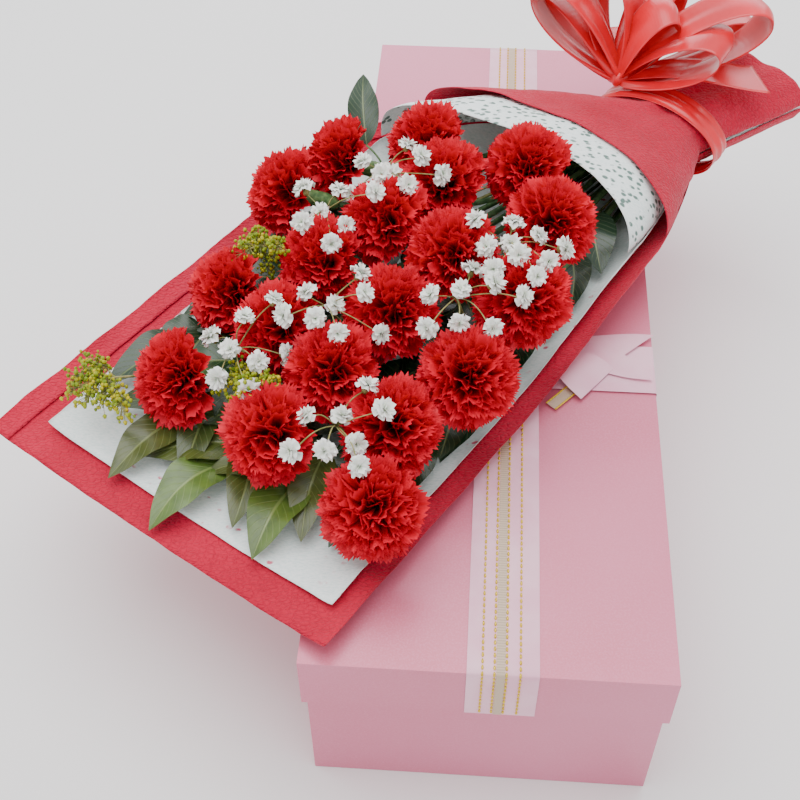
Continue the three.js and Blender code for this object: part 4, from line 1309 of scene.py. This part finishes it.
def flat_ribbon(mesher, start, end, width, lift, notch=0.0, rise=0.0, narrow=0.35, slot=0):
    """A ribbon lying on the lid, fanned from start to end, V-cut by notch and arched by rise."""
    v = np.linspace(0, 1, 24)[:, None]
    u = np.linspace(-1, 1, 9)[None, :]
    heading = math.atan2(end[1] - start[1], end[0] - start[0])
    half = lerp(narrow, 1.0, smoothstep(0.0, 0.9, v)) * width / 2
    pull = notch * (1 - np.abs(u)) * smoothstep(0.6, 1.0, v)
    x = lerp(start[0], end[0], v) - math.sin(heading) * u * half - math.cos(heading) * pull
    y = lerp(start[1], end[1], v) + math.cos(heading) * u * half - math.sin(heading) * pull
    creases = 0.5 * np.sin(v * 7) * (0.4 + 0.6 * np.abs(u))
    arch = rise * np.sin(math.pi * v**1.6)
    z = LID_TOP + BOX_BOW_LIFT + lift + creases + arch
    mesher.grid(stacked(x, y, z), stacked(u, v, 0), slot)


def build_box_bow():
    """The small bow under the bouquet's edge: a V-cut tail, a loop and a front tail."""
    mesher = Mesher()
    flat_ribbon(mesher, BOX_BOW_KNOT, BOW_TAIL_END, BOW_TAIL_SPREAD, 1.4, notch=BOW_TAIL_NOTCH)
    flat_ribbon(mesher, BOX_BOW_KNOT, BOW_LOOP_END, BOW_LOOP_SPREAD, 0.8, rise=5)
    flat_ribbon(mesher, BOX_BOW_KNOT, BOW_FRONT_END, BOW_WIDTH, 0.4, notch=10)
    piece = mesher.build("lid_bow_ribbon", [SHEER], box_to_world)
    place(piece, "box_ribbon", "lid_bow")
    trim = Mesher()
    along = np.subtract(BOW_GOLD_END, BOW_GOLD_START)
    across = np.array([-along[1], along[0]]) / np.hypot(*along)
    flat_ribbon(trim, BOW_GOLD_START, BOW_GOLD_END, BOW_GOLD_WIDTH, 0.1, narrow=1.0, slot=1)
    for side in (-1, 1):
        edge = side * across * BOW_GOLD_WIDTH / 2
        ends = [np.append(point + edge, LID_TOP + 2.3) for point in (BOW_GOLD_START, BOW_GOLD_END)]
        path = [lerp(ends[0], ends[1], share) for share in np.linspace(0, 1, 12)]
        trim.tube(path, 0.6, 6)
    gold_end = trim.build("lid_bow_trim", [GOLD, BEIGE], box_to_world)
    place(gold_end, "box_ribbon")


def build_box():
    card_piece("box_base", "base_board")
    card_piece("box_lid", "lid_board")
    build_lid_ribbons()
    build_box_bow()


# ---- Studio ----
CAMERA_PLACE = Vector((-20.8, -691.0, 785.7)) * MM
CAMERA_YAW, CAMERA_PITCH, CAMERA_ROLL = (math.radians(angle) for angle in (4.3, 41.79, -0.5))
CAMERA_LENS = 57.47
WORLD_STRENGTH, OVERHEAD_WATTS, BACK_WATTS = 1.08, 28, 12
FLOOR_REACH, FLOOR_DROP = 4000, 0.2


def build_camera():
    camera = bpy.data.cameras.new("camera")
    camera.lens = CAMERA_LENS
    camera.sensor_width = 36
    camera.clip_end = 20
    obj = bpy.data.objects.new("camera", camera)
    turn = Matrix.Rotation(CAMERA_YAW, 4, "Z") @ Matrix.Rotation(CAMERA_PITCH, 4, "X")
    turn = turn @ Matrix.Rotation(CAMERA_ROLL, 4, "Z")
    obj.matrix_world = Matrix.Translation(CAMERA_PLACE) @ turn
    bpy.context.scene.collection.objects.link(obj)
    bpy.context.scene.camera = obj


def area_light(name, place_at, aim, size, watts, colour):
    light = bpy.data.lights.new(name, "AREA")
    light.shape = "RECTANGLE"
    light.size, light.size_y = size
    light.energy = watts
    light.color = colour
    obj = bpy.data.objects.new(name, light)
    direction = Vector(aim) - Vector(place_at)
    aimed = direction.to_track_quat("-Z", "Y").to_matrix().to_4x4()
    obj.matrix_world = Matrix.Translation(place_at) @ aimed
    bpy.context.scene.collection.objects.link(obj)


def build_studio():
    scene = bpy.context.scene
    world = bpy.data.worlds.new("studio")
    world.use_nodes = True
    background = world.node_tree.nodes["Background"]
    background.inputs["Color"].default_value = (1, 1, 1, 1)
    background.inputs["Strength"].default_value = WORLD_STRENGTH
    scene.world = world
    area_light("overhead", (-0.25, 0.1, 1.7), (0, 0, 0.15), (1.6, 1.6), OVERHEAD_WATTS, (1, 1, 1))
    area_light("back_bank", (0.2, 1.7, 0.9), (0, 0, 0.2), (1.8, 0.8), BACK_WATTS, (0.95, 0.93, 1))
    mesher = Mesher()
    steps = np.linspace(-FLOOR_REACH, FLOOR_REACH, 5)
    mesher.grid(stacked(*np.meshgrid(steps, steps), -FLOOR_DROP))
    look = Look("floor", 0.9, 0.1)
    look.colour(look.mix(look.noise(3, 2.0), (0.93, 0.93, 0.93), (0.96, 0.96, 0.96)))
    mesher.build("floor", [look.material], box_to_world)


build_camera()
build_studio()
build_box()
build_papers()
build_satin()
build_twine()
build_flowers()
build_leaves()
